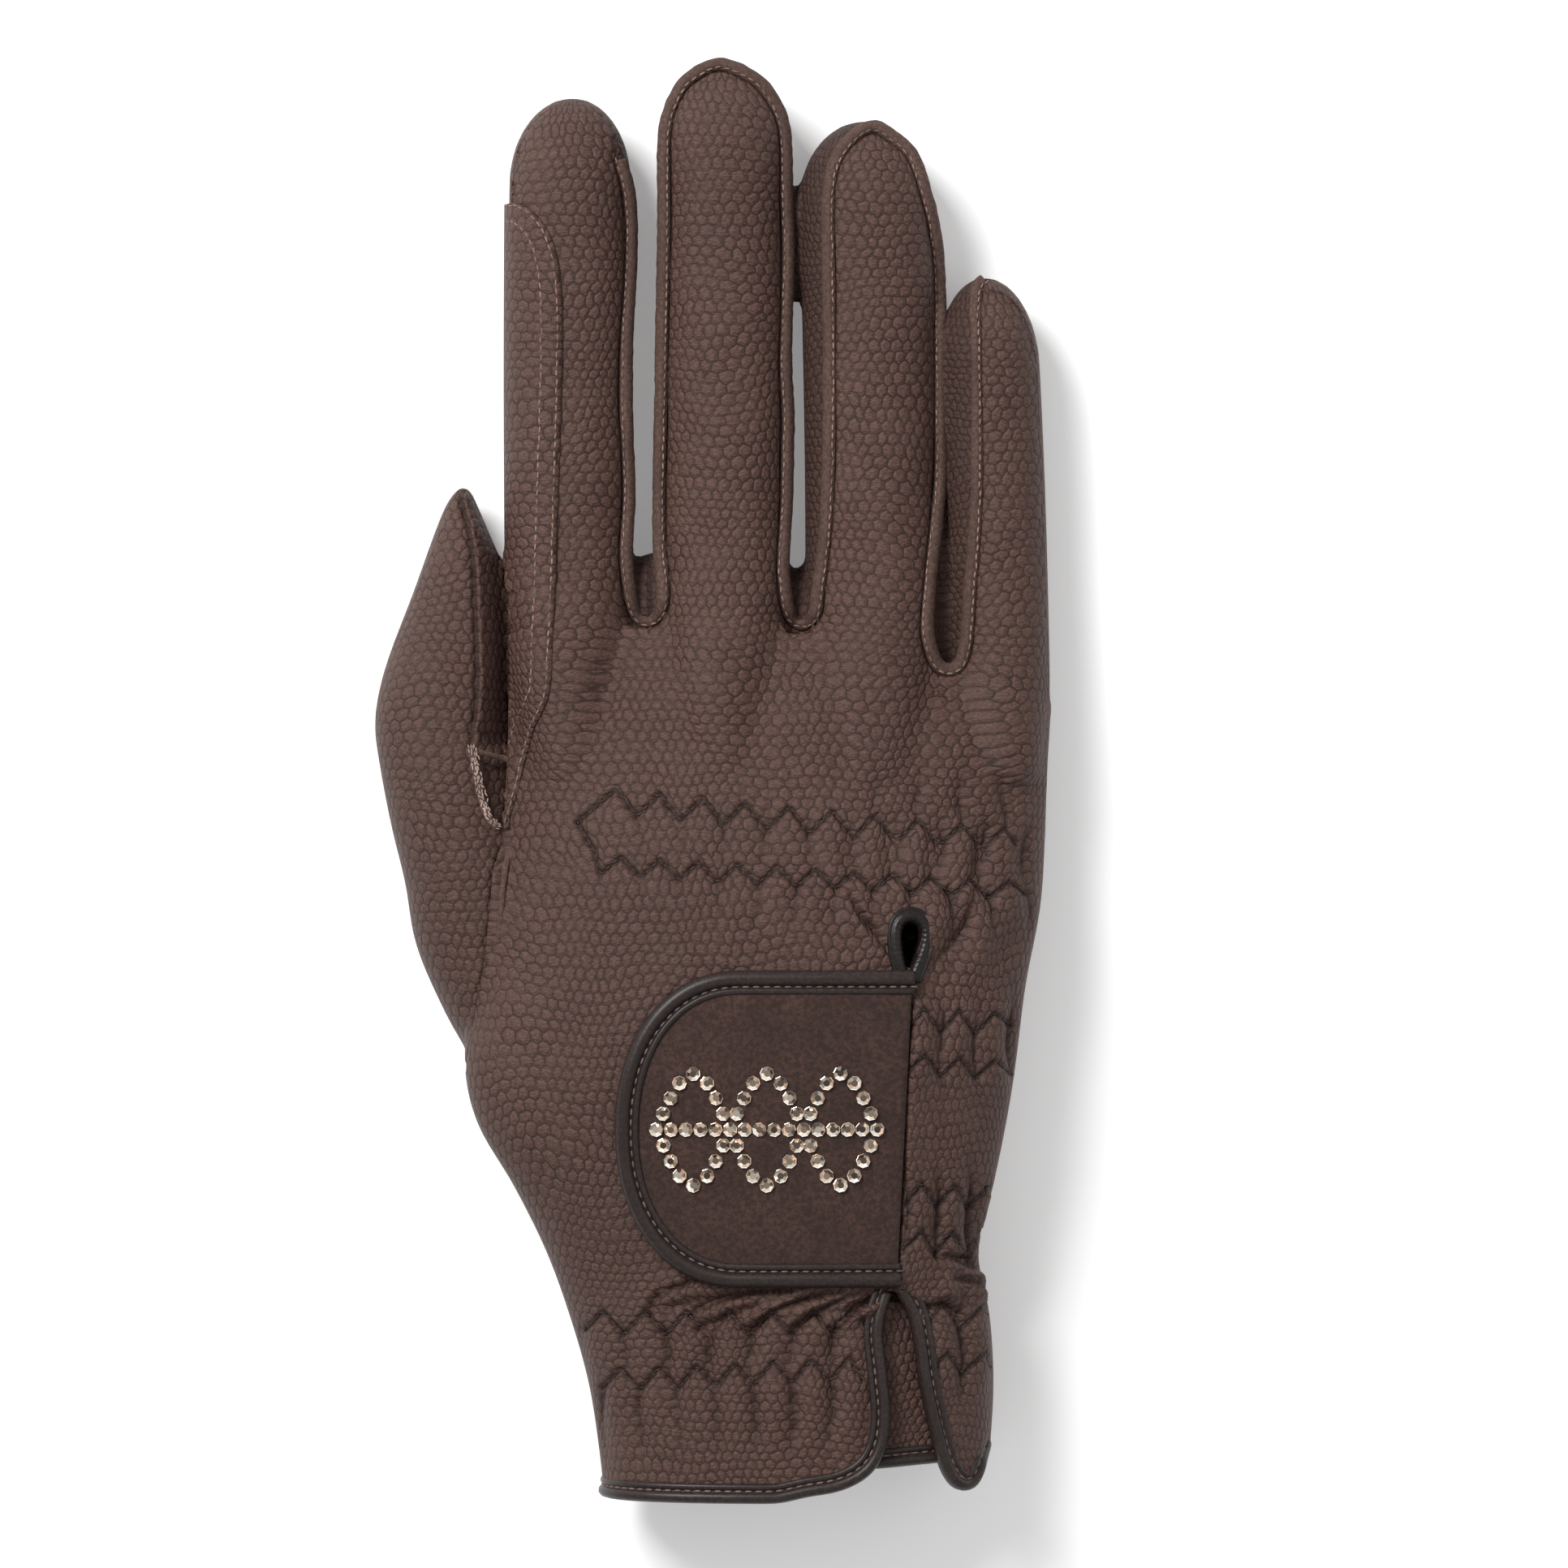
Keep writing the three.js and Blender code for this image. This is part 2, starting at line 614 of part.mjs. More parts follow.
// Two crossing waves of stones, with a straight row between them from crossing to crossing.
function motifPlaces() {
  const lobe = motifLength / motifLobes;
  const places = [];
  for (let i = 0; i < motifLobes; i += 1) {
    const start = (i - motifLobes / 2) * lobe;
    for (const side of [1, -1, 0]) {
      const knots = Array.from({ length: 9 }, (_, k) => new THREE.Vector2(
        start + (lobe * k) / 8,
        side * motifReach * Math.sin((Math.PI * k) / 8),
      ));
      const line = new THREE.SplineCurve(knots);
      const count = Math.ceil(line.getLength() / stonePitch);
      places.push(...line.getSpacedPoints(count).slice(1, -1));
    }
    places.push(new THREE.Vector2(start, 0));
  }
  places.push(new THREE.Vector2(motifLength / 2, 0));
  return places.map(({ x, y }) => [motifX + x, strapMiddleY + y]);
}

// A stone's foot reaches just past half the pitch, so that neighbours join, and its table is a flat top.
const stoneFoot = stonePitch * 0.56;
const stoneTable = stoneWidth * 0.3;

// One cut stone with eight facets and a table, standing on the tab.
function stone(x, y) {
  const sides = 8;
  const { normal } = backPoint(x, y);
  const base = new THREE.Vector3(x, y, strapUnder(x, y) + strapThickness + seamGap);
  const turn = new THREE.Quaternion().setFromUnitVectors(new THREE.Vector3(0, 0, 1), normal);
  const ring = (radius, height) => Array.from({ length: sides }, (_, k) => {
    const angle = (2 * Math.PI * (k + 0.5)) / sides;
    const place = new THREE.Vector3(Math.cos(angle) * radius, Math.sin(angle) * radius, height);
    return place.applyQuaternion(turn).add(base);
  });
  return solid(skin([ring(stoneFoot, 0), ring(stoneTable, stoneHeight)]));
}

function crystalField() {
  const stones = motifPlaces().map(([x, y]) => stone(x, y));
  return stones.reduce((field, next) => field.add(next));
}

// The rein patch laid over the index finger's outer side.
function patchSolid() {
  const edge = [
    [-0.6, 0.92], [-0.6, 1.496], [-0.502, 1.488], [-0.452, 1.465], [-0.422, 1.433], [-0.403, 1.386],
    [-0.4, 1.34], [-0.407, 1.153], [-0.415, 1.014], [-0.422, 0.921], [-0.452, 0.874], [-0.474, 0.819],
    [-0.5, 0.757], [-0.512, 0.757],
  ].map(([x, y]) => [x * bodyWidth, y * bodyLength]);
  const index = fingers[0];
  const over = (grow) => bodySolid({ grow, sides: 32, shares: bodyShares, hemEnd: 0, rootEnd: grow })
    .add(fingerSolid(index, { grow, ...outerFinger }));
  const layer = over(seamGap + patchThickness).subtract(over(seamGap));
  const thumb = thumbSolid({ grow: seamGap, sides: 16, shares: thumbShares });
  return layer.intersect(prism(edge, palmSeamHeight, far)).subtract(thumb).subtract(thumbCut(half * 2));
}

const glove = new THREE.Group();

function addPiece(name, piece, material) {
  const mesh = new THREE.Mesh(geometryOf(piece), material);
  mesh.name = name;
  glove.add(mesh);
}

const grained = leather(grainedBrown, 0.5);
const smooth = leather(darkBrown, 0.45);
const suede = leather(suedeBrown, 0.95);
const crystal = new THREE.MeshStandardMaterial({ color: crystalColour, roughness: 0.05, metalness: 0.3 });

const cuffRun = cuffPath();
const slitTopRun = slitTopPath();
const strapRun = strapEdgePath();
const cuffChannel = tape(cuffRun, bindingWidth, bindingThickness, seamGap);
const slitChannel = tape(slitTopRun, slitBindingWidth, bindingThickness, seamGap);
const strapChannel = tape(strapRun, strapBindingWidth, strapBindingThickness, seamGap);
const strapRoom = strapSlab({ inset: 0, low: -seamGap, high: strapBindingThickness * 2, grow: seamGap })
  .add(strapChannel);

const back = shell.intersect(aboveSideSeam).subtract(thumbCut(half)).subtract(slitCut())
  .subtract(cuffChannel).subtract(slitChannel).subtract(strapRoom);
addPiece('back_panel', back, grained);

const pairs = fingers.slice(1).map((finger, i) => [fingers[i], finger]);
let palm = shell.intersect(belowSideSeam).subtract(thumbCut(half))
  .subtract(palmHemCut()).subtract(cuffChannel);
pairs.forEach(([one, other]) => {
  palm = palm.subtract(betweenFingers(one, other, -half));
});
addPiece('palm_panel', palm, grained);

pairs.forEach(([one, other]) => {
  const strip = shell.intersect(betweenFingers(one, other, half));
  addPiece(`fourchette_${one.name}_${other.name}`, strip, grained);
});

addPiece('thumb', shell.intersect(thumbCut(-half)), grained);
addPiece('index_patch', patchSolid(), grained);
addPiece('cuff_binding', tape(cuffRun, bindingWidth, bindingThickness), smooth);
addPiece('slit_binding', tape(slitTopRun, slitBindingWidth, bindingThickness), smooth);
const tab = strapSlab({ inset: strapBindingWidth + seamGap, low: 0, high: strapThickness, grow: 0 });
addPiece('strap', tab, suede);
addPiece('strap_binding', tape(strapRun, strapBindingWidth, strapBindingThickness), smooth);
addPiece('crystal_field', crystalField(), crystal);

// The finished glove stands with the middle of its underside at the origin.
const box = new THREE.Box3().setFromObject(glove);
const middle = box.getCenter(new THREE.Vector3());
glove.position.set(-middle.x, -middle.y, -box.min.z);

export default glove;
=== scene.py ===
import math
import bpy
import bmesh
import numpy as np
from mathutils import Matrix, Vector
from mathutils.bvhtree import BVHTree


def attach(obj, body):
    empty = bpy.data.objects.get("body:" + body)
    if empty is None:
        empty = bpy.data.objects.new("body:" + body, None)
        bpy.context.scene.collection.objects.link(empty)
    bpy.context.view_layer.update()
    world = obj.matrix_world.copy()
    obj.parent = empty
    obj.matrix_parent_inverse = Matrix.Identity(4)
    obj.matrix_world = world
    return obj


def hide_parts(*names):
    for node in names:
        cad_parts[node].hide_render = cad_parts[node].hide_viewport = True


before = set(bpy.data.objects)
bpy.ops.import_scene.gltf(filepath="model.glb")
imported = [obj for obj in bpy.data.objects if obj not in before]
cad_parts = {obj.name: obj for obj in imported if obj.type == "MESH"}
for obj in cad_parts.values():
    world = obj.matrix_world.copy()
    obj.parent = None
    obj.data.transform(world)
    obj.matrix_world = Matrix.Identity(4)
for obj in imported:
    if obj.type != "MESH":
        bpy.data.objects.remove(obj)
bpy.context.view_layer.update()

bpy.ops.object.select_all(action='DESELECT')
mm = 0.001

# everything below is in millimetres of the hand: x from its middle, y from its hem
glove = {
    "shift": (11.3006, -123.7415),  # from the hand's own origin to the frame
    "pixel": 0.14,                  # millimetres to one pixel of the 1932 pixel frame
    "origin": (960, 1840),          # the pixel over the hand's own origin
    "bodyLength": 150.5, "bodyWidth": 94.5, "bodyHeight": 32,
    "bodyPower": 2.5, "bodyMiddle": 0.45, "tubePower": 2.3,
    "thumbLength": 98.5, "thumbWidth": 24, "thumbHeight": 22, "thumbTip": 174.33,
    "crotchBow": 16, "tipLength": 15, "rootShare": 0.82, "rootTaper": 0.16, "floorBite": 0.7,
    "sideSeam": 12.6, "palmSeam": 4.4, "seamGap": 0.25,
    "wall": 1.2, "voxel": 1.1,
}
handShift = np.array([*glove["shift"], 0])

# "bow" is the bend of the finger's middle, and "slim" what its left and right sides give up
fingerKeys = ("name", "tipX", "rootX", "tipY", "width", "height", "bow", "slim")
fingers = [dict(zip(fingerKeys, row)) for row in (
    ("index", -35.7, -35.2, 241, 21.7, 17.6, -0.5, (0.0, 0.6)),
    ("middle", -9.9, -9.8, 247.5, 23.3, 18.0, 0.4, (0.6, 0.6)),
    ("ring", 14.9, 16.4, 237, 23.8, 17.8, 0.6, (0.0, 0.6)),
    ("little", 35.6, 38.3, 210, 17.4, 16.4, 0.6, (0.0, 0.0)),
)]

# share along the body from the hem, then its left, right and height as shares of its width and height
bodyRows = [
    (-0.08, -0.315, 0.372, 0.96), (0.0, -0.32, 0.378, 0.96), (0.056, -0.329, 0.385, 0.96),
    (0.13, -0.348, 0.391, 0.96), (0.205, -0.382, 0.384, 0.95), (0.279, -0.425, 0.363, 0.94),
    (0.353, -0.483, 0.39, 0.96), (0.428, -0.55, 0.413, 0.98), (0.502, -0.573, 0.43, 1.0),
    (0.614, -0.556, 0.449, 0.97), (0.726, -0.533, 0.476, 0.9), (0.8, -0.516, 0.484, 0.82),
    (0.902, -0.498, 0.49, 0.71), (1.0, -0.492, 0.499, 0.56),
]
# share along the thumb from its tip, then its left, right and height
thumbRows = [
    (0.0, -2.275, -2.275, 0.05), (0.015, -2.345, -2.22, 0.3), (0.045, -2.42, -2.165, 0.48),
    (0.11, -2.52, -2.05, 0.66), (0.18, -2.62, -1.94, 0.75), (0.33, -2.845, -1.93, 0.87),
    (0.42, -2.91, -1.93, 0.92), (0.5, -2.87, -1.93, 0.96), (0.6, -2.79, -1.86, 1.0),
    (0.7, -2.69, -1.75, 1.02), (0.81, -2.61, -1.6, 1.0), (0.93, -2.4, -1.45, 0.94),
    (1.0, -2.24, -1.4, 0.8),
]

# seam lines as pixels of the frame, each followed with the leather that it edges on its right-hand side
seamLines = {
    "fingers": [
        (772, 196), (780, 222), (784, 245), (786, 275), (785, 330), (781, 400), (780, 450), (780, 510),
        (782, 570), (783, 620), (780, 680), (783, 721), (787, 743), (793, 759), (802, 761), (809, 741),
        (808, 707), (805, 680), (804, 600), (806, 510), (807, 450), (808, 390), (810, 300), (810, 240),
        (810, 180), (814, 148), (824, 119), (843, 92), (886, 71), (935, 91), (960, 120), (972, 148),
        (976, 180), (977, 240), (979, 300), (977, 390), (976, 450), (979, 510), (978, 570), (977, 620),
        (973, 689), (974, 716), (979, 750), (988, 766), (997, 753), (999, 732), (1003, 707), (1006, 680),
        (1010, 640), (1013, 560), (1014, 450), (1013, 350), (1012, 260), (1016, 215), (1030, 182),
        (1052, 158), (1070, 149), (1088, 151), (1126, 181), (1140, 210), (1149, 240), (1157, 270),
        (1163, 310), (1166, 360), (1167, 450), (1167, 510), (1167, 583), (1162, 640), (1155, 698),
        (1151, 744), (1150, 780), (1159, 811), (1171, 822), (1180, 801), (1184, 767), (1187, 721),
        (1191, 675), (1194, 600), (1194, 500), (1193, 430), (1192, 385), (1196, 352), (1208, 338),
    ],
    "thumb": [
        (622, 1028), (612, 1062), (606, 1120), (600, 1180), (592, 1225), (585, 1262), (577, 1300),
        (572, 1318),
    ],
    "thumbCut": [
        (622, 380), (622, 690), (627, 730), (628, 800), (627, 900), (622, 1030), (612, 1062), (606, 1120),
        (600, 1180), (592, 1225), (585, 1262), (576, 1311),
    ],
    "thumbRidge": [
        (566, 609), (574, 640), (580, 665), (584, 700), (586, 740), (588, 790), (589, 840), (587, 880),
        (583, 905), (584, 940),
    ],
    "slitLeft": [
        (985, 1834), (1035, 1826), (1072, 1806), (1090, 1775), (1096, 1735), (1093, 1698), (1089, 1660),
        (1086, 1635), (1089, 1612), (1097, 1588),
    ],
    "slitRight": [
        (1101, 1586), (1117, 1612), (1125, 1650), (1130, 1690), (1138, 1730), (1147, 1768), (1156, 1800),
        (1170, 1824), (1187, 1832), (1203, 1825), (1213, 1808), (1217, 1780),
    ],
    "teardrop": [
        (1119, 1128), (1132, 1134), (1137, 1150), (1131, 1168), (1122, 1188), (1114, 1188), (1107, 1168),
        (1102, 1150), (1106, 1134),
    ],
    "fold": [
        (1120, 1206), (1116, 1270), (1113, 1340), (1110, 1410), (1107, 1480), (1103, 1545), (1098, 1590),
    ],
}


def toHand(points):
    ox, oy = glove["origin"]
    return np.array([((x - ox) * glove["pixel"], (oy - y) * glove["pixel"]) for x, y in points])


def smoothLine(points, step, closed=False):
    # an even run of places along a curve through the points
    points = np.asarray(points, float)
    if closed:
        points = np.vstack([points[-1:], points, points[:2]])
    else:
        points = np.vstack([2 * points[0] - points[1], points, 2 * points[-1] - points[-2]])
    fine = []
    for a, b, c, d in zip(points, points[1:], points[2:], points[3:]):
        for t in np.linspace(0, 1, 12, endpoint=False):
            fine.append(0.5 * (2 * b + (c - a) * t + (2 * a - 5 * b + 4 * c - d) * t * t
                               + (3 * b - a - 3 * c + d) * t ** 3))
    fine.append(points[-2])
    return evenly(np.array(fine), step)


def evenly(line, step):
    gone = np.concatenate([[0], np.cumsum(np.linalg.norm(np.diff(line, axis=0), axis=1))])
    count = max(int(round(gone[-1] / step)), 1)
    at = np.linspace(0, gone[-1], count + 1)
    return np.stack([np.interp(at, gone, line[:, k]) for k in range(line.shape[1])], axis=1)


def softened(values, rounds):
    # a running mean along the first axis that keeps the ends
    values = np.array(values, float)
    for _ in range(rounds):
        values[1:-1] = (values[:-2] + 2 * values[1:-1] + values[2:]) / 4
    return values


def sideways(line):
    # the way to the right of a flat line as it is followed
    run = np.gradient(np.asarray(line)[:, :2], axis=0)
    run /= np.linalg.norm(run, axis=1)[:, None] + 1e-9
    return np.stack([run[:, 1], -run[:, 0]], axis=1)


def smoothStep(values, low, high):
    t = np.clip((np.asarray(values, float) - low) / (high - low), 0, 1)
    return t * t * (3 - 2 * t)


def distanceTo(line, points):
    # how far each place lies from a flat line, which side it is on (right is over nought) and how far along
    a, b = line[:-1], line[1:]
    span = b - a
    size = (span ** 2).sum(axis=1) + 1e-12
    start = np.concatenate([[0], np.cumsum(np.sqrt(size))])
    best = np.full(len(points), 1e9)
    side = np.zeros(len(points))
    along = np.zeros(len(points))
    for k in range(len(a)):
        off = points - a[k]
        t = np.clip((off @ span[k]) / size[k], 0, 1)
        gap = off - t[:, None] * span[k]
        far = np.sqrt((gap ** 2).sum(axis=1))
        nearer = far < best
        best[nearer] = far[nearer]
        turn = span[k][1] * off[:, 0] - span[k][0] * off[:, 1]
        side[nearer] = np.sign(turn[nearer])
        along[nearer] = (start[k] + t * math.sqrt(size[k]))[nearer]
    return best, side, along


def inside(outline, points):
    # which places lie within a closed outline
    hit = np.zeros(len(points), bool)
    x, y = points[:, 0], points[:, 1]
    for (ax, ay), (bx, by) in zip(outline, np.roll(outline, -1, axis=0)):
        cross = (ay > y) != (by > y)
        at = ax + (y - ay) * (bx - ax) / (by - ay + 1e-12)
        hit ^= cross & (x < at)
    return hit


def between(rows, column, share):
    last = len(rows) - 1
    i = 0
    while i < last - 1 and share > rows[i + 1][0]:
        i += 1
    a, b = rows[i], rows[i + 1]
    before, after = rows[max(i - 1, 0)], rows[min(i + 2, last)]
    span = b[0] - a[0]
    t = min(max((share - a[0]) / span, 0), 1)
    slopeA = (b[column] - before[column]) / (b[0] - before[0]) * span
    slopeB = (after[column] - a[column]) / (after[0] - a[0]) * span
    ease = t * t * (3 - 2 * t)
    return a[column] + (b[column] - a[column]) * ease + slopeA * t * (1 - t) ** 2 - slopeB * t * t * (1 - t)


bodyShares = np.linspace(bodyRows[0][0], 1, 300)
bodyTable = {
    "left": np.array([between(bodyRows, 1, s) for s in bodyShares]) * glove["bodyWidth"],
    "right": np.array([between(bodyRows, 2, s) for s in bodyShares]) * glove["bodyWidth"],
    "top": np.array([between(bodyRows, 3, s) for s in bodyShares]) * glove["bodyHeight"],
}


def rootBow(x):
    share = (x + glove["bodyWidth"] * 0.16) / (glove["bodyWidth"] / 2)
    return glove["crotchBow"] * share * share * 0.5


def bodySection(share):
    left, right, top = (np.interp(share, bodyShares, bodyTable[key]) for key in ("left", "right", "top"))
    return left, right, top * glove["bodyMiddle"], top


def bodyTop(x, y):
    left, right, middle, top = bodySection(np.asarray(y) / glove["bodyLength"])
    across = np.minimum(np.abs((2 * x - left - right) / (right - left)), 0.999)
    return middle + (top - middle) * (1 - across ** glove["bodyPower"]) ** (1 / glove["bodyPower"])


def fingerCentre(finger, y):
    rootY = glove["rootShare"] * glove["bodyLength"]
    share = np.clip((np.asarray(y) - rootY) / (finger["tipY"] - rootY), 0, 1)
    return (finger["rootX"] + (finger["tipX"] - finger["rootX"]) * share
            + finger["bow"] * np.sin(math.pi * share))


def fingerHeight(finger, y):
    rootY = glove["rootShare"] * glove["bodyLength"]
    share = (np.asarray(y) - rootY) / (finger["tipY"] - rootY)
    rootHeight = bodyTop(finger["rootX"], rootY) - 0.7
    return finger["height"] + (rootHeight - finger["height"]) * (1 - smoothStep(share, 0, 0.42))


def sectionRing(left, right, middle, halfTall, power, sides):
    angle = 2 * math.pi * (np.arange(sides) + 0.5) / sides
    c, s = np.cos(angle), np.sin(angle)
    x = (left + right) / 2 + (right - left) / 2 * np.sign(c) * np.abs(c) ** (2 / power)
    z = middle + halfTall * np.sign(s) * np.abs(s) ** (2 / power)
    return x, np.maximum(z, 0)


def makeMesh(name, points, faces, smooth=True):
    mesh = bpy.data.meshes.new(name)
    mesh.from_pydata(((np.asarray(points, float) + handShift) * mm).tolist(), [], [list(f) for f in faces])
    mesh.validate()
    piece = bpy.data.objects.new(name, mesh)
    bpy.context.collection.objects.link(piece)
    if smooth:
        mesh.polygons.foreach_set("use_smooth", [True] * len(mesh.polygons))
    return piece


def places(piece):
    co = np.empty(len(piece.data.vertices) * 3)
    piece.data.vertices.foreach_get("co", co)
    return co.reshape(-1, 3) / mm - handShift


def setPlaces(piece, points):
    co = (points + handShift) * mm
    piece.data.vertices.foreach_set("co", co.ravel())
    piece.data.update()


def wayOut(piece):
    normals = np.empty(len(piece.data.vertices) * 3)
    piece.data.vertices.foreach_get("normal", normals)
    return normals.reshape(-1, 3)


def loft(rings, capped=True):
    count = len(rings[0])
    faces = []
    for r in range(len(rings) - 1):
        for k in range(count):
            n = (k + 1) % count
            faces.append((r * count + k, r * count + n, (r + 1) * count + n, (r + 1) * count + k))
    if capped:
        faces.append(tuple(range(count))[::-1])
        faces.append(tuple(range((len(rings) - 1) * count, len(rings) * count)))
    return np.vstack(rings), faces


def only(piece):
    bpy.ops.object.select_all(action='DESELECT')
    piece.select_set(True)
    bpy.context.view_layer.objects.active = piece


def applied(piece, kind, **settings):
    only(piece)
    step = piece.modifiers.new("step", kind)
    for key, value in settings.items():
        setattr(step, key, value)
    bpy.ops.object.modifier_apply(modifier="step")
    return piece


def outwards(piece):
    only(piece)
    bpy.ops.object.mode_set(mode='EDIT')
    bpy.ops.mesh.select_all(action='SELECT')
    bpy.ops.mesh.normals_make_consistent(inside=False)
    bpy.ops.object.mode_set(mode='OBJECT')
    return piece


def joined(pieces, name):
    bpy.ops.object.select_all(action='DESELECT')
    for piece in pieces:
        piece.select_set(True)
    bpy.context.view_layer.objects.active = pieces[0]
    if len(pieces) > 1:
        bpy.ops.object.join()
    whole = bpy.context.view_layer.objects.active
    whole.name = whole.data.name = name
    return whole


# the hand as rounded tubes: body, fingers, thumb and the webs in the crotches
detail = {
    "bodyRings": 70, "bodySides": 120, "fingerRings": 30, "tipRings": 14, "thumbRings": 40, "tubeSides": 56,
}


def bodyLoft():
    rings = []
    for share in np.linspace(bodyRows[0][0], 1, detail["bodyRings"]):
        left, right, middle, top = bodySection(share)
        x, z = sectionRing(left, right, middle, top - middle, glove["bodyPower"], detail["bodySides"])
        bend = smoothStep(share, 0.3, 1)
        rings.append(np.stack([x, share * glove["bodyLength"] - bend * rootBow(x), z], axis=1))
    return makeMesh("body", *loft(rings))


def fingerLoft(finger):
    rootY = glove["rootShare"] * glove["bodyLength"]
    length = finger["tipY"] - rootY
    bare = length - glove["tipLength"]
    stations = [*np.linspace(0, bare, detail["fingerRings"], endpoint=False)]
    stations += [bare + glove["tipLength"] * math.sin(math.pi / 2 * t * 0.99)
                 for t in np.linspace(0, 1, detail["tipRings"])]
    rings = []
    for station in stations:
        past = max(station - bare, 0) / glove["tipLength"]
        rounding = math.sqrt(1 - past * past)
        share = station / length
        height = float(fingerHeight(finger, rootY + station))
        centre = float(fingerCentre(finger, rootY + station))
        half = finger["width"] / 2 * (1 - glove["rootTaper"] * (1 - smoothStep(share, 0, 0.2)))
        x, z = sectionRing(centre - half + finger["slim"][0], centre + half - finger["slim"][1], height / 2,
                           height / 2 + glove["floorBite"] * (1 - past), glove["tubePower"],
                           detail["tubeSides"])
        x = centre + (x - centre) * rounding
        z = height / 2 + (z - height / 2) * rounding
        rings.append(np.stack([x, np.full_like(x, rootY + station), z], axis=1))
    return makeMesh(finger["name"], *loft(rings))


def thumbLoft():
    rings = []
    for share in [*np.linspace(0, 0.05, 8, endpoint=False), *np.linspace(0.05, 1, detail["thumbRings"])]:
        left, right = (between(thumbRows, k, share) * glove["thumbWidth"] for k in (1, 2))
        height = between(thumbRows, 3, share) * glove["thumbHeight"]
        low = glove["thumbHeight"] * 0.3
        middle = max(low + (height / 2 - low) * min(share / 0.11, 1), height / 2)
        x, z = sectionRing(left, right, middle, height / 2 + (glove["floorBite"] if share > 0.05 else 0),
                           glove["tubePower"], detail["tubeSides"])
        y = glove["thumbTip"] - share * glove["thumbLength"]
        rings.append(np.stack([x, np.full_like(x, y), z], axis=1))
    return makeMesh("thumbTube", *loft(rings))


# where the webs lie: middle and half size each way
webs = [
    ((-22.6, 152.0, 6.5), (4.2, 10.5, 6.5)),
    ((4.0, 150.5, 6.5), (4.0, 9.5, 6.5)),
    ((29.6, 143.0, 6.5), (4.0, 9.0, 6.5)),
]
webSides, webRings = 32, 16


def webLoft(centre, size):
    rings = []
    angle = 2 * math.pi * np.arange(webSides) / webSides
    for t in np.linspace(0.04, 0.96, webRings):
        r = math.sin(math.pi * t)
        y = centre[1] - size[1] * math.cos(math.pi * t)
        rings.append(np.stack([centre[0] + size[0] * r * np.cos(angle), np.full(webSides, y),
                               centre[2] + size[2] * r * np.sin(angle)], axis=1))
    return makeMesh("web", *loft(rings))


tubes = [bodyLoft(), thumbLoft(), *(fingerLoft(f) for f in fingers), *(webLoft(*w) for w in webs)]
for tube in tubes:
    outwards(tube)
skin = joined(tubes, "skin")
applied(skin, 'REMESH', mode='VOXEL', voxel_size=glove["voxel"] * mm, use_smooth_shade=True)
applied(skin, 'SMOOTH', factor=0.5, iterations=4)
print("skin of the hand:", len(skin.data.polygons), "faces")


def treeOf(piece):
    return BVHTree.FromPolygons(places(piece).tolist(), [tuple(p.vertices) for p in piece.data.polygons])


skinTree = treeOf(skin)


def fromAbove(x, y, tree=None):
    # the place and the way out of the topmost surface there, or None and None
    return (tree or skinTree).ray_cast(Vector((x, y, 90)), Vector((0, 0, -1)))[:2]


def skinHeight(points, tree=None):
    # the top of the leather under each flat place, with gaps filled in from their neighbours
    heights = []
    for x, y in np.asarray(points)[:, :2]:
        place, _ = fromAbove(x, y, tree)
        heights.append(place.z if place else np.nan)
    heights = np.array(heights)
    good = ~np.isnan(heights)
    if not good.all():
        heights = np.interp(np.arange(len(heights)), np.flatnonzero(good), heights[good])
    return heights


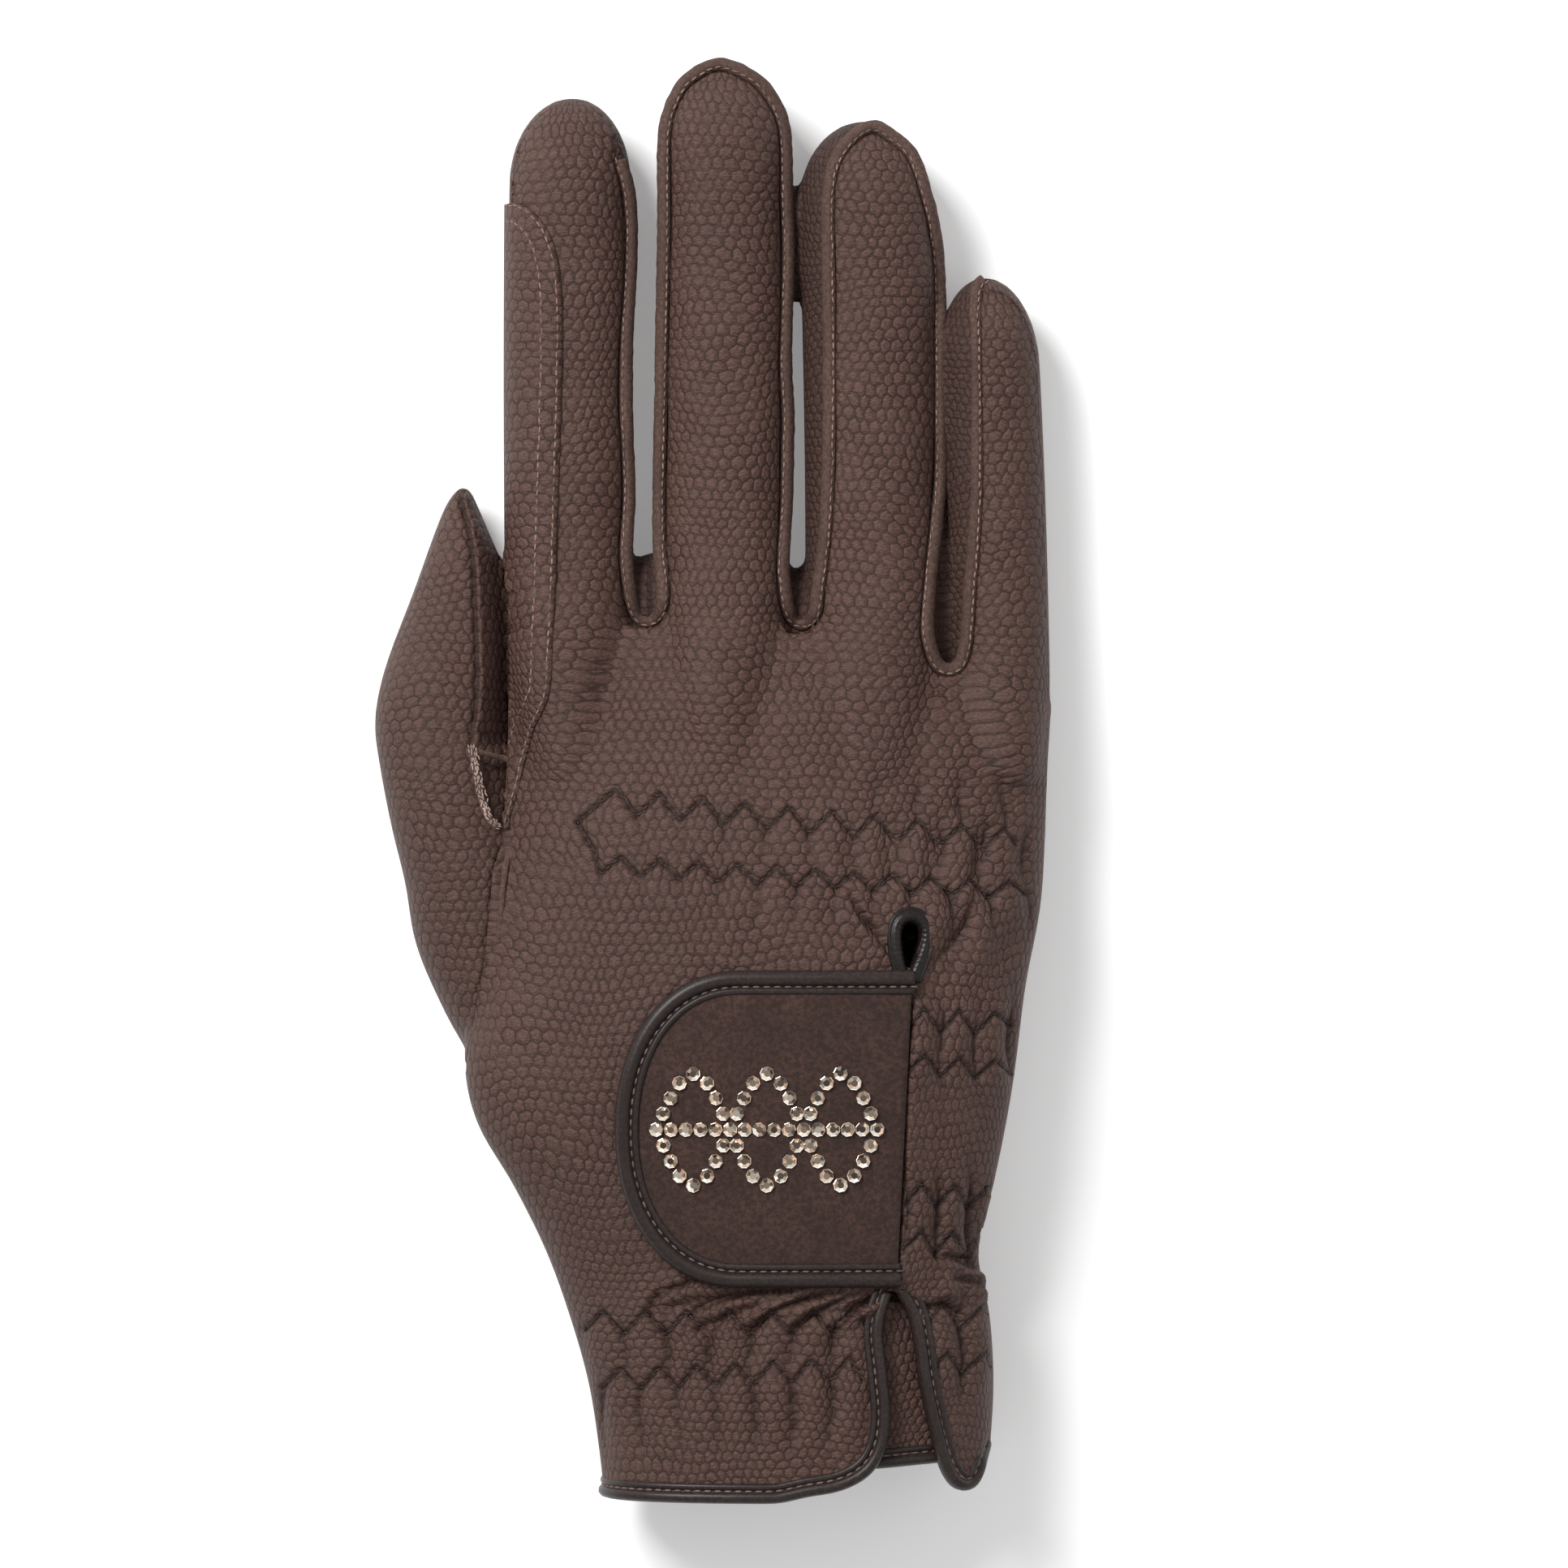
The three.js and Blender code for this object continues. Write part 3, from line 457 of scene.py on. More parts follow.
# gathers, folds and stitched zigzags of the back, measured in pixels of the frame
relief = {
    # first peak, last peak, number of teeth, drop to the valleys, run-in, run-out
    "zigzags": [
        ((761, 973), (1237, 1020), 9, 29, [(714, 1013)], [(1250, 1040)]),
        ((768, 1056), (1242, 1085), 10, 22, [(714, 1013), (733, 1042), (742, 1075)], [(1262, 1100)]),
        ((1135, 1240), (1222, 1246), 2, 28, [(1117, 1262)], [(1246, 1262)]),
        ((1135, 1296), (1222, 1303), 2, 24, [(1116, 1312)], [(1246, 1322)]),
        ((1132, 1452), (1211, 1458), 2, 30, [(1112, 1478)], [(1228, 1474)]),
        ((1130, 1510), (1205, 1514), 2, 30, [(1110, 1532)], [(1220, 1530)]),
        ((1160, 1600), (1206, 1604), 1, 32, [(1140, 1624)], [(1222, 1624)]),
        ((1165, 1660), (1208, 1662), 1, 28, [(1146, 1682)], [(1222, 1684)]),
        ((745, 1610), (1052, 1606), 6, 28, [(722, 1634)], [(1068, 1626)]),
        ((767, 1680), (1046, 1664), 6, 26, [(742, 1706)], [(1062, 1690)]),
    ],
    # ridges that stand in the teeth: pixels from and to, first ridge, pitch, reach up and down, height in mm
    "gathers": [
        ((740, 1010), (1260, 1045), 761, 52.9, (26, 42), (0.14, 0.62)),
        ((742, 1082), (1262, 1106), 768, 47.4, (14, 40), (0.1, 0.72)),
        ((960, 978), (1262, 1006), 787, 52.9, (46, 14), (0.05, 0.6)),
        ((1117, 1275), (1250, 1285), 1135, 43.5, (52, 60), (0.6, 0.75)),
        ((1110, 1492), (1225, 1498), 1132, 39.5, (56, 56), (0.6, 0.8)),
        ((1140, 1640), (1222, 1645), 1162, 43, (50, 70), (0.6, 0.8)),
        ((726, 1648), (1066, 1640), 745, 51.2, (24, 42), (0.5, 0.85)),
        ((745, 1716), (1062, 1704), 767, 46.5, (16, 62), (0.45, 0.8)),
    ],
    # single folds: pixels from and to, height in mm, half width in mm
    "folds": [
        ((1150, 1112), (1131, 1205), 0.9, 1.6), ((1202, 1108), (1163, 1198), -0.9, 2.0),
        ((1180, 1100), (1150, 1158), 0.6, 1.6), ((1228, 1112), (1188, 1200), 0.8, 2.2),
        ((1250, 1130), (1222, 1210), -0.6, 2.0),
        ((1096, 1584), (980, 1626), -1.3, 0.9), ((1098, 1592), (1010, 1632), 1.0, 1.1),
        ((1040, 1584), (925, 1632), -1.3, 0.9), ((1066, 1580), (950, 1622), 1.1, 1.2),
        ((980, 1584), (836, 1642), -1.3, 0.9), ((1000, 1588), (880, 1628), 1.1, 1.2),
        ((920, 1578), (800, 1612), -0.9, 1.1), ((930, 1572), (820, 1590), 0.8, 1.3),
        ((1160, 1592), (1186, 1626), -1.3, 1.1), ((1186, 1570), (1221, 1596), 1.5, 1.7),
        ((1172, 1546), (1216, 1560), -1.3, 1.3), ((1150, 1560), (1172, 1600), 0.9, 1.4),
        ((830, 800), (900, 900), 0.3, 4.5), ((905, 800), (955, 900), -0.35, 5.0),
        ((985, 800), (1020, 960), 0.4, 5.5), ((1080, 850), (1100, 1000), -0.5, 5.5),
        ((1180, 860), (1190, 1000), 0.6, 5.5), ((700, 880), (760, 1160), 0.4, 9.0),
        ((820, 1120), (1000, 1130), 0.35, 8.0), ((640, 1240), (760, 1560), 0.4, 8.0),
        ((1092, 1010), (1098, 1110), -0.8, 1.5), ((1148, 1020), (1146, 1100), -0.8, 1.5),
        ((1204, 1020), (1204, 1110), -0.9, 1.6), ((1040, 1030), (1050, 1090), -0.5, 1.5),
    ],
    # sharp creases along a run of pixels: how deep in mm
    "creases": [
        ([(972, 1581), (920, 1585), (880, 1597), (855, 1610), (844, 1628)], 1.0),
        ([(1036, 1583), (995, 1592), (961, 1604), (940, 1618), (931, 1630)], 1.2),
        ([(1064, 1583), (1041, 1592), (1013, 1604), (991, 1617), (979, 1630)], 1.2),
        ([(1080, 1590), (1059, 1601), (1041, 1614), (1025, 1628)], 1.0),
        ([(862, 1560), (848, 1574), (812, 1590), (800, 1617)], 0.8),
        ([(1048, 1105), (1065, 1132), (1082, 1153), (1098, 1174)], 0.8),
        ([(1200, 1098), (1193, 1122), (1184, 1147), (1163, 1170), (1147, 1190)], 0.4),
        ([(1108, 1592), (1140, 1604), (1162, 1600), (1186, 1626)], 0.9),
        ([(1150, 1540), (1185, 1548), (1216, 1562)], 0.8), ([(1172, 1570), (1200, 1580), (1219, 1600)], 0.9),
    ],
    # depths and widths in mm, "dark" the painted shade at the bottom of a groove, between the puffs and in a
    # crease
    "groove": {"deep": 0.6, "wide": 0.5, "dark": 0.85, "paintedShadeWide": 0.42},
    "gather": {"high": 2.3, "roundness": 0.62, "middle": 0.6, "fade": 14, "growth": 1.3, "sway": 0.2,
               "uneven": 0.3, "squareness": 2.4, "dark": 1.3, "paintedShadeMost": 0.95},
    "crease": {"wide": 0.6, "lip": 0.55, "lipAt": 1.5, "lipWide": 0.9, "dark": 0.9, "paintedShadeWide": 0.45},
    "fold": {"rise": 2.3, "run": 7.0, "ease": 0.9, "starts": (0, 6), "ends": (49, 55)},
    "uneven": 0.22,
}


def zigzagLine(first, last, teeth, drop, before, after):
    (ax, ay), (bx, by) = first, last
    points = [*before]
    for k in range(teeth + 1):
        t = k / teeth
        points.append((ax + (bx - ax) * t, ay + (by - ay) * t))
        if k < teeth:
            t = (k + 0.5) / teeth
            points.append((ax + (bx - ax) * t, ay + (by - ay) * t + drop))
    return toHand(points + [*after])


def swellAlong(share, until, start):
    # nought near both ends of a line and one in its middle
    return np.sin(math.pi * np.clip(share * until + start, 0, 1))


def hill(values, wide):
    return np.exp(-(values / wide) ** 2)


zigzagLines = [zigzagLine(*row) for row in relief["zigzags"]]
fingerEdge = smoothLine(toHand(seamLines["fingers"]), 0.5)
edgeWay = softened(sideways(fingerEdge), 3)
stitchInset = 1.75
fingerStitch = evenly(softened(fingerEdge + edgeWay * stitchInset, 2), 0.5)
foldLine = smoothLine(toHand(seamLines["fold"]), 0.8)
thumbRidge = smoothLine(toHand(seamLines["thumbRidge"]), 0.8)
thumbCutLine = smoothLine(toHand(seamLines["thumbCut"]), 0.8)
slitLeft = smoothLine(toHand(seamLines["slitLeft"]), 0.8)
slitRight = smoothLine(toHand(seamLines["slitRight"]), 0.8)


def reliefAt(points):
    # how far the leather rises at each place, and how much painted shade darkens its grooves, hollows and
    # creases there
    flat = points[:, :2]
    dark = np.zeros(len(points))
    px = flat[:, 0] / glove["pixel"] + glove["origin"][0]
    py = glove["origin"][1] - flat[:, 1] / glove["pixel"]
    rise = np.zeros(len(points))
    groove, gather, crease, fold = (relief[key] for key in ("groove", "gather", "crease", "fold"))
    for line in [*zigzagLines, fingerStitch]:
        near, _, _ = distanceTo(line, flat)
        rise -= groove["deep"] * hill(near, groove["wide"])
        # painted shade along the bottom of each stitched groove
        dark = np.maximum(dark, groove["dark"] * hill(near, groove["paintedShadeWide"]))
    for (ax, ay), (bx, by), first, pitch, reach, (low, most) in relief["gathers"]:
        held = np.clip((px - ax) / (bx - ax), 0, 1)
        fade = hill(px - (ax + (bx - ax) * held), gather["fade"])
        off = py - (ay + (by - ay) * held)
        off = np.where(off < 0, off / reach[0], off / reach[1])
        high = low + (most - low) * held ** gather["growth"]
        turn = math.pi * (px - first) / pitch + gather["sway"] * np.sin(py / 17 + px / 61)
        own = 1 + gather["uneven"] * np.sin(px / 37 + first)
        puff = np.abs(np.cos(turn)) ** gather["roundness"]
        here = high * own * fade * np.exp(-np.abs(off) ** gather["squareness"])
        rise += gather["high"] * here * (puff - gather["middle"])
        # painted shade in the hollows between the puffs
        hollow = np.clip(1 - puff / gather["roundness"], 0, 1)
        dark = np.maximum(dark, np.clip(here * gather["dark"], 0, gather["paintedShadeMost"]) * hollow)
    for start, end, high, wide in relief["folds"]:
        line = toHand([start, end])
        near, _, along = distanceTo(line, flat)
        length = np.linalg.norm(line[1] - line[0])
        rise += high * swellAlong(along / length, 0.84, 0.08) * hill(near, wide)
    for pixels, deep in relief["creases"]:
        line = smoothLine(toHand(pixels), 0.5)
        near, _, along = distanceTo(line, flat)
        swell = swellAlong(along / (len(line) * 0.5), 0.8, 0.14)
        lip = crease["lip"] * hill(near - crease["lipAt"], crease["lipWide"])
        rise += deep * swell * (lip - hill(near, crease["wide"]))
        # painted shade along the bottom of the crease
        dark = np.maximum(dark, min(deep, 1) * crease["dark"] * swell * hill(near, crease["paintedShadeWide"]))
    near, side, along = distanceTo(foldLine, flat)
    held = smoothStep(along, *fold["starts"]) * (1 - smoothStep(along, *fold["ends"]))
    slope = np.exp(-near / fold["run"]) * np.sqrt(np.clip(near / fold["ease"], 0, 1))
    rise += fold["rise"] * held * np.where(side < 0, slope, 0)
    x, y = flat[:, 0], flat[:, 1]
    rise += relief["uneven"] * (np.sin(x / 7.3 + y / 11.0) * np.sin(y / 8.7 - x / 13.0)
                                + 0.6 * np.sin(x / 4.1 - y / 19.0) * np.sin(y / 5.3))
    return rise, dark


# the way that the leather unrolls, for its grain
def arcTable(halfWide, middle, top, power, count=181):
    angle = np.linspace(-math.pi, math.pi, count)
    c, s = np.cos(angle), np.sin(angle)
    x = halfWide * np.sign(c) * np.abs(c) ** (2 / power)
    z = np.where(s > 0, top - middle, middle) * np.sign(s) * np.abs(s) ** (2 / power)
    gone = np.concatenate([[0], np.cumsum(np.hypot(np.diff(x), np.diff(z)))])
    return angle, gone


def unrolled(points, section, stations, power, fromBelow):
    # the length along the section from its top or bottom middle to each place
    row = np.clip(np.searchsorted(stations, points[:, 1]) - 1, 0, len(stations) - 2)
    share = np.clip((points[:, 1] - stations[row]) / (stations[row + 1] - stations[row]), 0, 1)
    run = np.zeros(len(points))
    for j in range(len(stations) - 1):
        mask = row == j
        if not mask.any():
            continue
        found = []
        for k in (j, j + 1):
            centre, halfWide, middle, top = section(stations[k])
            x = (points[mask, 0] - centre) / halfWide
            z = points[mask, 2] - middle
            z = np.where(z > 0, z / (top - middle), z / middle)
            angle = np.arctan2(np.sign(z) * np.abs(z) ** (power / 2), np.sign(x) * np.abs(x) ** (power / 2))
            angles, gone = arcTable(halfWide, middle, top, power)
            length = np.interp(angle, angles, gone)
            if fromBelow:
                found.append(length - np.interp(-math.pi / 2, angles, gone))
            else:
                turned = np.interp(math.pi / 2, angles, gone) - length
                found.append(np.where(turned > gone[-1] / 2, turned - gone[-1], turned))
        run[mask] = found[0] * (1 - share[mask]) + found[1] * share[mask]
    return run


# the cells' places: where the elastic draws them in, where the fingers part, and how the wrist's are smaller
grain = {
    "elasticX": 24, "elastic": 0.2, "elasticEnds": (95, 130), "fingersFrom": 128, "shared": 40,
    "closer": 0.16, "closerEnds": (20, 110),
}


def grainPlaces(points, kind):
    def bodyPart(y):
        left, right, middle, top = bodySection(y / glove["bodyLength"])
        return (left + right) / 2, (right - left) / 2, middle, top

    below = kind == "palm"
    if kind == "thumb":
        def thumbPart(y):
            share = np.clip((glove["thumbTip"] - y) / glove["thumbLength"], 0.05, 1)
            left, right = (between(thumbRows, k, share) * glove["thumbWidth"] for k in (1, 2))
            height = between(thumbRows, 3, share) * glove["thumbHeight"]
            return (left + right) / 2, (right - left) / 2, height / 2, height
        run = unrolled(points, thumbPart, np.linspace(74, 172, 30), glove["tubePower"], False)
        ys = np.linspace(74, 175, 60)
        centre = np.interp(points[:, 1], ys, [thumbPart(y)[0] for y in ys])
        return np.stack([run + centre, points[:, 1]], axis=1)
    bent = points.copy()
    bent[:, 1] += smoothStep(points[:, 1] / glove["bodyLength"], 0.3, 1) * rootBow(points[:, 0])
    body = unrolled(bent, bodyPart, np.linspace(-8, 150, 36), glove["bodyPower"], below)
    ys = np.linspace(-8, 150, 60)
    body += np.interp(points[:, 1], ys, [bodyPart(y)[0] for y in ys])
    # the elastic draws the cells together on the outer side
    past = points[:, 0] - grain["elasticX"]
    drawn = grain["elastic"] * (np.sqrt(past ** 2 + 16) + past)
    body += drawn * (1 - smoothStep(points[:, 1], *grain["elasticEnds"]))
    u = body.copy()
    nearest = np.argmin([np.abs(points[:, 0] - fingerCentre(f, points[:, 1])) for f in fingers], axis=0)
    for k, finger in enumerate(fingers):
        mask = (nearest == k) & (points[:, 1] > grain["fingersFrom"])
        if not mask.any():
            continue

        def fingerPart(y):
            height = float(fingerHeight(finger, y))
            return float(fingerCentre(finger, y)), finger["width"] / 2, height / 2, height
        stations = np.linspace(grain["fingersFrom"] - 2, finger["tipY"], 26)
        run = unrolled(points[mask], fingerPart, stations, glove["tubePower"], below)
        run = run + fingerCentre(finger, points[mask][:, 1])
        root = glove["bodyLength"] - rootBow(finger["rootX"])
        # the two ways of unrolling meet at the middle of the finger's root
        meets = np.abs(points[:, 1] - root + 4) + 2 * np.abs(points[:, 0] - finger["rootX"]) + 99 * ~mask
        closest = np.argsort(meets)[:grain["shared"]]
        held = np.searchsorted(np.flatnonzero(mask), closest)
        run = run + np.median(body[closest] - run[held])
        share = smoothStep(points[mask][:, 1], root - 14, root + 10)
        u[mask] = body[mask] * (1 - share) + run * share
    return np.stack([u, points[:, 1]], axis=1)


def setGrain(piece, kind, offset=0.0):
    uv = grainPlaces(places(piece), kind)
    closer = 1 + grain["closer"] * (1 - smoothStep(uv[:, 1], *grain["closerEnds"]))
    uv = uv * closer[:, None] * mm + offset
    data = piece.data.attributes.new("grain", 'FLOAT_VECTOR', 'POINT')
    flat = np.zeros((len(uv), 3))
    flat[:, :2] = uv
    data.data.foreach_set("vector", flat.ravel())


thumbOutline = np.vstack([thumbCutLine, [[-200, thumbCutLine[-1][1]]], [[-200, thumbCutLine[0][1]]]])


# the skin is parted along the seams
def partedSkin():
    shape = bmesh.new()
    shape.from_mesh(skin.data)
    shift = Vector(handShift) * mm
    sliver = 0.3 * mm
    for level in (glove["sideSeam"] * mm, glove["palmSeam"] * mm):
        # a point that lies just off the cut is pushed away from it, so that no sliver is left
        for v in shape.verts:
            off = v.co.z - level
            if abs(off) < sliver and abs(v.normal.z) < 0.75:
                v.co.z = level + math.copysign(sliver, off)
        middles = np.array([f.calc_center_median() - shift for f in shape.faces])[:, :2] / mm
        cut = [f for f, held in zip(shape.faces, inside(thumbOutline, middles)) if not held]
        around = {e for f in cut for e in f.edges}
        ends = {v for e in around for v in e.verts}
        bmesh.ops.bisect_plane(shape, geom=[*ends, *around, *cut], dist=1e-7, plane_co=(0, 0, level),
                               plane_no=(0, 0, 1))
    shape.verts.index_update()
    points = np.array([v.co for v in shape.verts]) / mm - handShift
    faces = [tuple(v.index for v in f.verts) for f in shape.faces]
    shape.free()
    return points, faces


points, faces = partedSkin()
centres = np.array([points[list(f)].mean(axis=0) for f in faces])
flat = centres[:, :2]
hem = {"back": 1.6, "palmRise": 5.6, "flapRise": 2.4, "middleX": 2.74, "halfWide": 33.0, "squareness": 1.25}


def hemRise(turned):
    # how far the hem climbs on its way under the wrist, from the left side at 0 to the right side at 1
    palmRise = hem["palmRise"] * smoothStep(turned, 0.05, 0.75)
    return palmRise + hem["flapRise"] * smoothStep(turned, 0.8, 1.02)


gapOutline = np.vstack([fingerStitch, [[fingerStitch[-1][0], 300]], [[fingerStitch[0][0], 300]]])
inGap = inside(gapOutline, flat) & (centres[:, 2] > glove["palmSeam"])
isThumb = inside(thumbOutline, flat)
slitOutline = np.vstack([slitLeft[0] + [-1, -12], slitLeft + sideways(slitLeft) * -1.3,
                         slitRight + sideways(slitRight) * -1.3, slitRight[-1] + [3, 0], [42, -12]])
teardrop = smoothLine(toHand(seamLines["teardrop"]), 0.5, closed=True)
isTop = centres[:, 2] > glove["sideSeam"]
inSlit = (inside(slitOutline, flat) | inside(teardrop, flat)) & isTop
across = np.clip((centres[:, 0] - hem["middleX"]) / hem["halfWide"], -1, 1)
turned = 1 - np.arccos(np.sign(across) * np.abs(across) ** hem["squareness"]) / math.pi
palmHem = hem["back"] + hemRise(turned)
isPalm = ~isThumb & ~inGap & (centres[:, 2] < glove["sideSeam"]) & (flat[:, 1] > palmHem)
isPalm |= ~isThumb & inside(gapOutline, flat) & (centres[:, 2] < glove["palmSeam"])
isBack = ~isThumb & ~inGap & isTop & ~inSlit & (flat[:, 1] > hem["back"])


def part(name, mask):
    used = sorted({v for f, keep in zip(faces, mask) if keep for v in f})
    number = {v: k for k, v in enumerate(used)}
    return makeMesh(name, points[used], [[number[v] for v in f] for f, keep in zip(faces, mask) if keep])


def looseBitsGone(piece, least=60):
    # drops the crumbs that a jagged cut leaves
    shape = bmesh.new()
    shape.from_mesh(piece.data)
    seen = set()
    for start in list(shape.faces):
        if start in seen:
            continue
        island, queue = [start], [start]
        seen.add(start)
        while queue:
            for edge in queue.pop().edges:
                for other in edge.link_faces:
                    if other not in seen:
                        seen.add(other)
                        island.append(other)
                        queue.append(other)
        if len(island) < least:
            bmesh.ops.delete(shape, geom=island, context='FACES')
    shape.to_mesh(piece.data)
    shape.free()


def snapped(piece, lines, levels, reach=1.25):
    # rim points are drawn onto the seam lines, and off the shared levels by half the seam's gap
    shape = bmesh.new()
    shape.from_mesh(piece.data)
    rim = [v.index for v in shape.verts if v.is_boundary]
    shape.free()
    co = places(piece)
    flatRim = co[rim][:, :2]
    best = np.full(len(rim), reach)
    target = flatRim.copy()
    for line in lines:
        for a, b in zip(line[:-1], line[1:]):
            span = b - a
            t = np.clip(((flatRim - a) @ span) / (span @ span), 0, 1)
            at = a + t[:, None] * span
            far = np.linalg.norm(flatRim - at, axis=1)
            onLevel = np.zeros(len(rim), bool)
            for level, _ in levels:
                onLevel |= np.abs(co[rim][:, 2] - level) < 0.01
            nearer = (far < best) & ~onLevel
            best[nearer] = far[nearer]
            target[nearer] = at[nearer]
    moved = best < reach
    for k, v in enumerate(rim):
        if moved[k]:
            hit = skinTree.find_nearest(Vector((*target[k], co[v, 2])))
            co[v] = [target[k][0], target[k][1], hit[0].z if hit[0] else co[v, 2]]
    for level, off in levels:
        for v in rim:
            if abs(co[v, 2] - level) < 0.01:
                co[v, 2] += off
    setPlaces(piece, co)


outerReach = 0.45  # what lies nearer to the skin than this is the outside of a wall


def refined(piece, lines, *reaches):
    # smaller faces near the stitched lines, on the outside only
    for reach in reaches:
        shape = bmesh.new()
        shape.from_mesh(piece.data)
        middles = np.array([f.calc_center_median() for f in shape.faces]) / mm - handShift
        normals = np.array([f.normal for f in shape.faces])
        near = np.full(len(middles), 99.0)
        candidates = normals[:, 2] > -0.1
        for line in lines:
            d, _, _ = distanceTo(line, middles[candidates][:, :2])
            near[candidates] = np.minimum(near[candidates], d)
        picked = np.flatnonzero(near < reach)
        shape.faces.ensure_lookup_table()
        edges = {}
        for i in picked:
            if skinTree.find_nearest(Vector(middles[i]))[3] < outerReach:
                for e in shape.faces[i].edges:
                    edges[e.index] = e
        bmesh.ops.subdivide_edges(shape, edges=[edges[i] for i in sorted(edges)], cuts=1, use_grid_fill=True)
        shape.to_mesh(piece.data)
        shape.free()


def thickened(piece, thick):
    applied(piece, 'SOLIDIFY', thickness=thick * mm, offset=-1, use_even_offset=False, use_rim=True)
    return piece


def dressedRelief(piece):
    co, n = places(piece), wayOut(piece)
    shown = smoothStep(n[:, 2], 0.05, 0.5)
    for k in np.flatnonzero(shown > 0):
        if skinTree.find_nearest(Vector(co[k]))[3] > outerReach:
            shown[k] = 0
    picked = shown > 0
    rise, dark = np.zeros(len(co)), np.zeros(len(co))
    rise[picked], dark[picked] = reliefAt(co[picked])
    setPlaces(piece, co + n * (rise * shown)[:, None])
    # the painted shade goes only onto the outside that shows
    setPaintedShade(piece, dark * shown)


def setPaintedShade(piece, dark):
    # the painted shade at each place, which darkens the leather's colour in grooves, hollows, creases and
    # recesses
    data = piece.data.attributes.new("crease", 'FLOAT', 'POINT')
    data.data.foreach_set("value", np.asarray(dark, float))


seamHalf = glove["seamGap"] / 2
back = part("back_leather", isBack)
looseBitsGone(back)
slitEdges = [line + sideways(line) * -1.2 for line in (slitLeft, slitRight)]
snapped(back, [fingerStitch, thumbCutLine, *slitEdges, np.vstack([teardrop, teardrop[:1]])],
        [(glove["sideSeam"], seamHalf)])
thickened(back, glove["wall"])
gatherLines = [toHand(row[:2]) for row in relief["gathers"]]
creaseLines = [smoothLine(toHand(pixels), 0.8) for pixels, _ in relief["creases"]]
refined(back, gatherLines, 7.6)
refined(back, zigzagLines, 1.1)
refined(back, creaseLines, 1.6, 0.9)
refined(back, [fingerStitch, foldLine], 1.5, 0.9)
dressedRelief(back)
setGrain(back, "back")
print("back:", len(back.data.polygons), "faces")

palm = part("palm_leather", isPalm)
looseBitsGone(palm)
snapped(palm, [], [(glove["sideSeam"], -seamHalf), (glove["palmSeam"], -seamHalf)])
thickened(palm, glove["wall"])
setGrain(palm, "palm", 0.4)
print("palm:", len(palm.data.polygons), "faces")

gussets = []
for one, other in zip(fingers, fingers[1:]):
    low, high = fingerCentre(one, centres[:, 1]), fingerCentre(other, centres[:, 1])
    isGusset = inGap & (centres[:, 0] > low) & (centres[:, 0] < high) & (centres[:, 2] > glove["palmSeam"])
    gusset = part(f"gusset_{one['name']}_{other['name']}", isGusset)
    looseBitsGone(gusset, 12)
    snapped(gusset, [fingerStitch], [(glove["palmSeam"], seamHalf)])
    thickened(gusset, glove["wall"] * 0.9)
    setGrain(gusset, "back", 0.8)
    gussets.append(gusset)
    print("gusset:", len(gusset.data.polygons), "faces")

thumb = part("thumb_leather", isThumb)
looseBitsGone(thumb)
snapped(thumb, [thumbCutLine], [])
thumbForm = {
    "drop": 3.0, "run": 5.2, "welt": 0.7, "weltAt": 0.9, "weltWide": 0.75, "grooveWide": 0.5,
    "ends": (126.5, 133), "foldY": 130.5, "pocketDeep": 1.3, "pocketEase": 1.4,
    "pocket": [
        (592, 930), (610, 938), (636, 944), (636, 1010), (618, 1022), (604, 1012), (598, 985), (594, 955),
    ],
}
pocket = smoothLine(toHand(thumbForm["pocket"]), 0.5, closed=True)
pocketRim = np.vstack([pocket, pocket[:1]])


def formedThumb(piece):
    co, n = places(piece), wayOut(piece)
    near, side, _ = distanceTo(thumbRidge, co[:, :2])
    top = smoothStep(n[:, 2], -0.1, 0.35)
    held = top * smoothStep(co[:, 1], *thumbForm["ends"])
    signed = -near * np.where(side > 0, 1, -1)
    right = np.maximum(signed, 0)
    co[:, 2] -= held * thumbForm["drop"] * smoothStep(right, 1.2, thumbForm["run"])
    welt = hill(signed - thumbForm["weltAt"], thumbForm["weltWide"])
    co[:, 2] += held * thumbForm["welt"] * (welt - 0.9 * hill(signed, thumbForm["grooveWide"]))
    rim, _, _ = distanceTo(pocketRim, co[:, :2])
    within = inside(pocket, co[:, :2]) * smoothStep(rim, 0, thumbForm["pocketEase"])
    co[:, 2] -= np.minimum(top * within * thumbForm["pocketDeep"], np.maximum(co[:, 2] - 3, 0))
    setPlaces(piece, co)
    # painted shade: dark along the ridge's groove, a little on the strip that falls away to its right, at the
    # fold and in the pocket's recess
    shade = held * (0.85 * hill(signed, 0.42) + 0.12 * smoothStep(signed, 1.8, 3.5))
    fold = 0.6 * hill(co[:, 1] - thumbForm["foldY"], 1.1) * smoothStep(signed, 0.8, 2.0)
    setPaintedShade(piece, np.clip(np.maximum(np.maximum(shade, fold * top), 0.2 * within * top), 0, 1))


refined(thumb, [thumbRidge, pocketRim], 2.6, 1.6)
formedThumb(thumb)
thickened(thumb, glove["wall"] * 0.8)
setGrain(thumb, "thumb", 1.3)
print("thumb:", len(thumb.data.polygons), "faces")

# raw-edged seams, where two layers are stitched flat and stand out like a narrow flange
seamLip = {"wide": 1.8, "thick": 1.25, "droop": 0.95, "fray": 0.06}
thumbLip = {"wide": 1.35, "thick": 1.0, "droop": 0.25, "fray": 0.1}


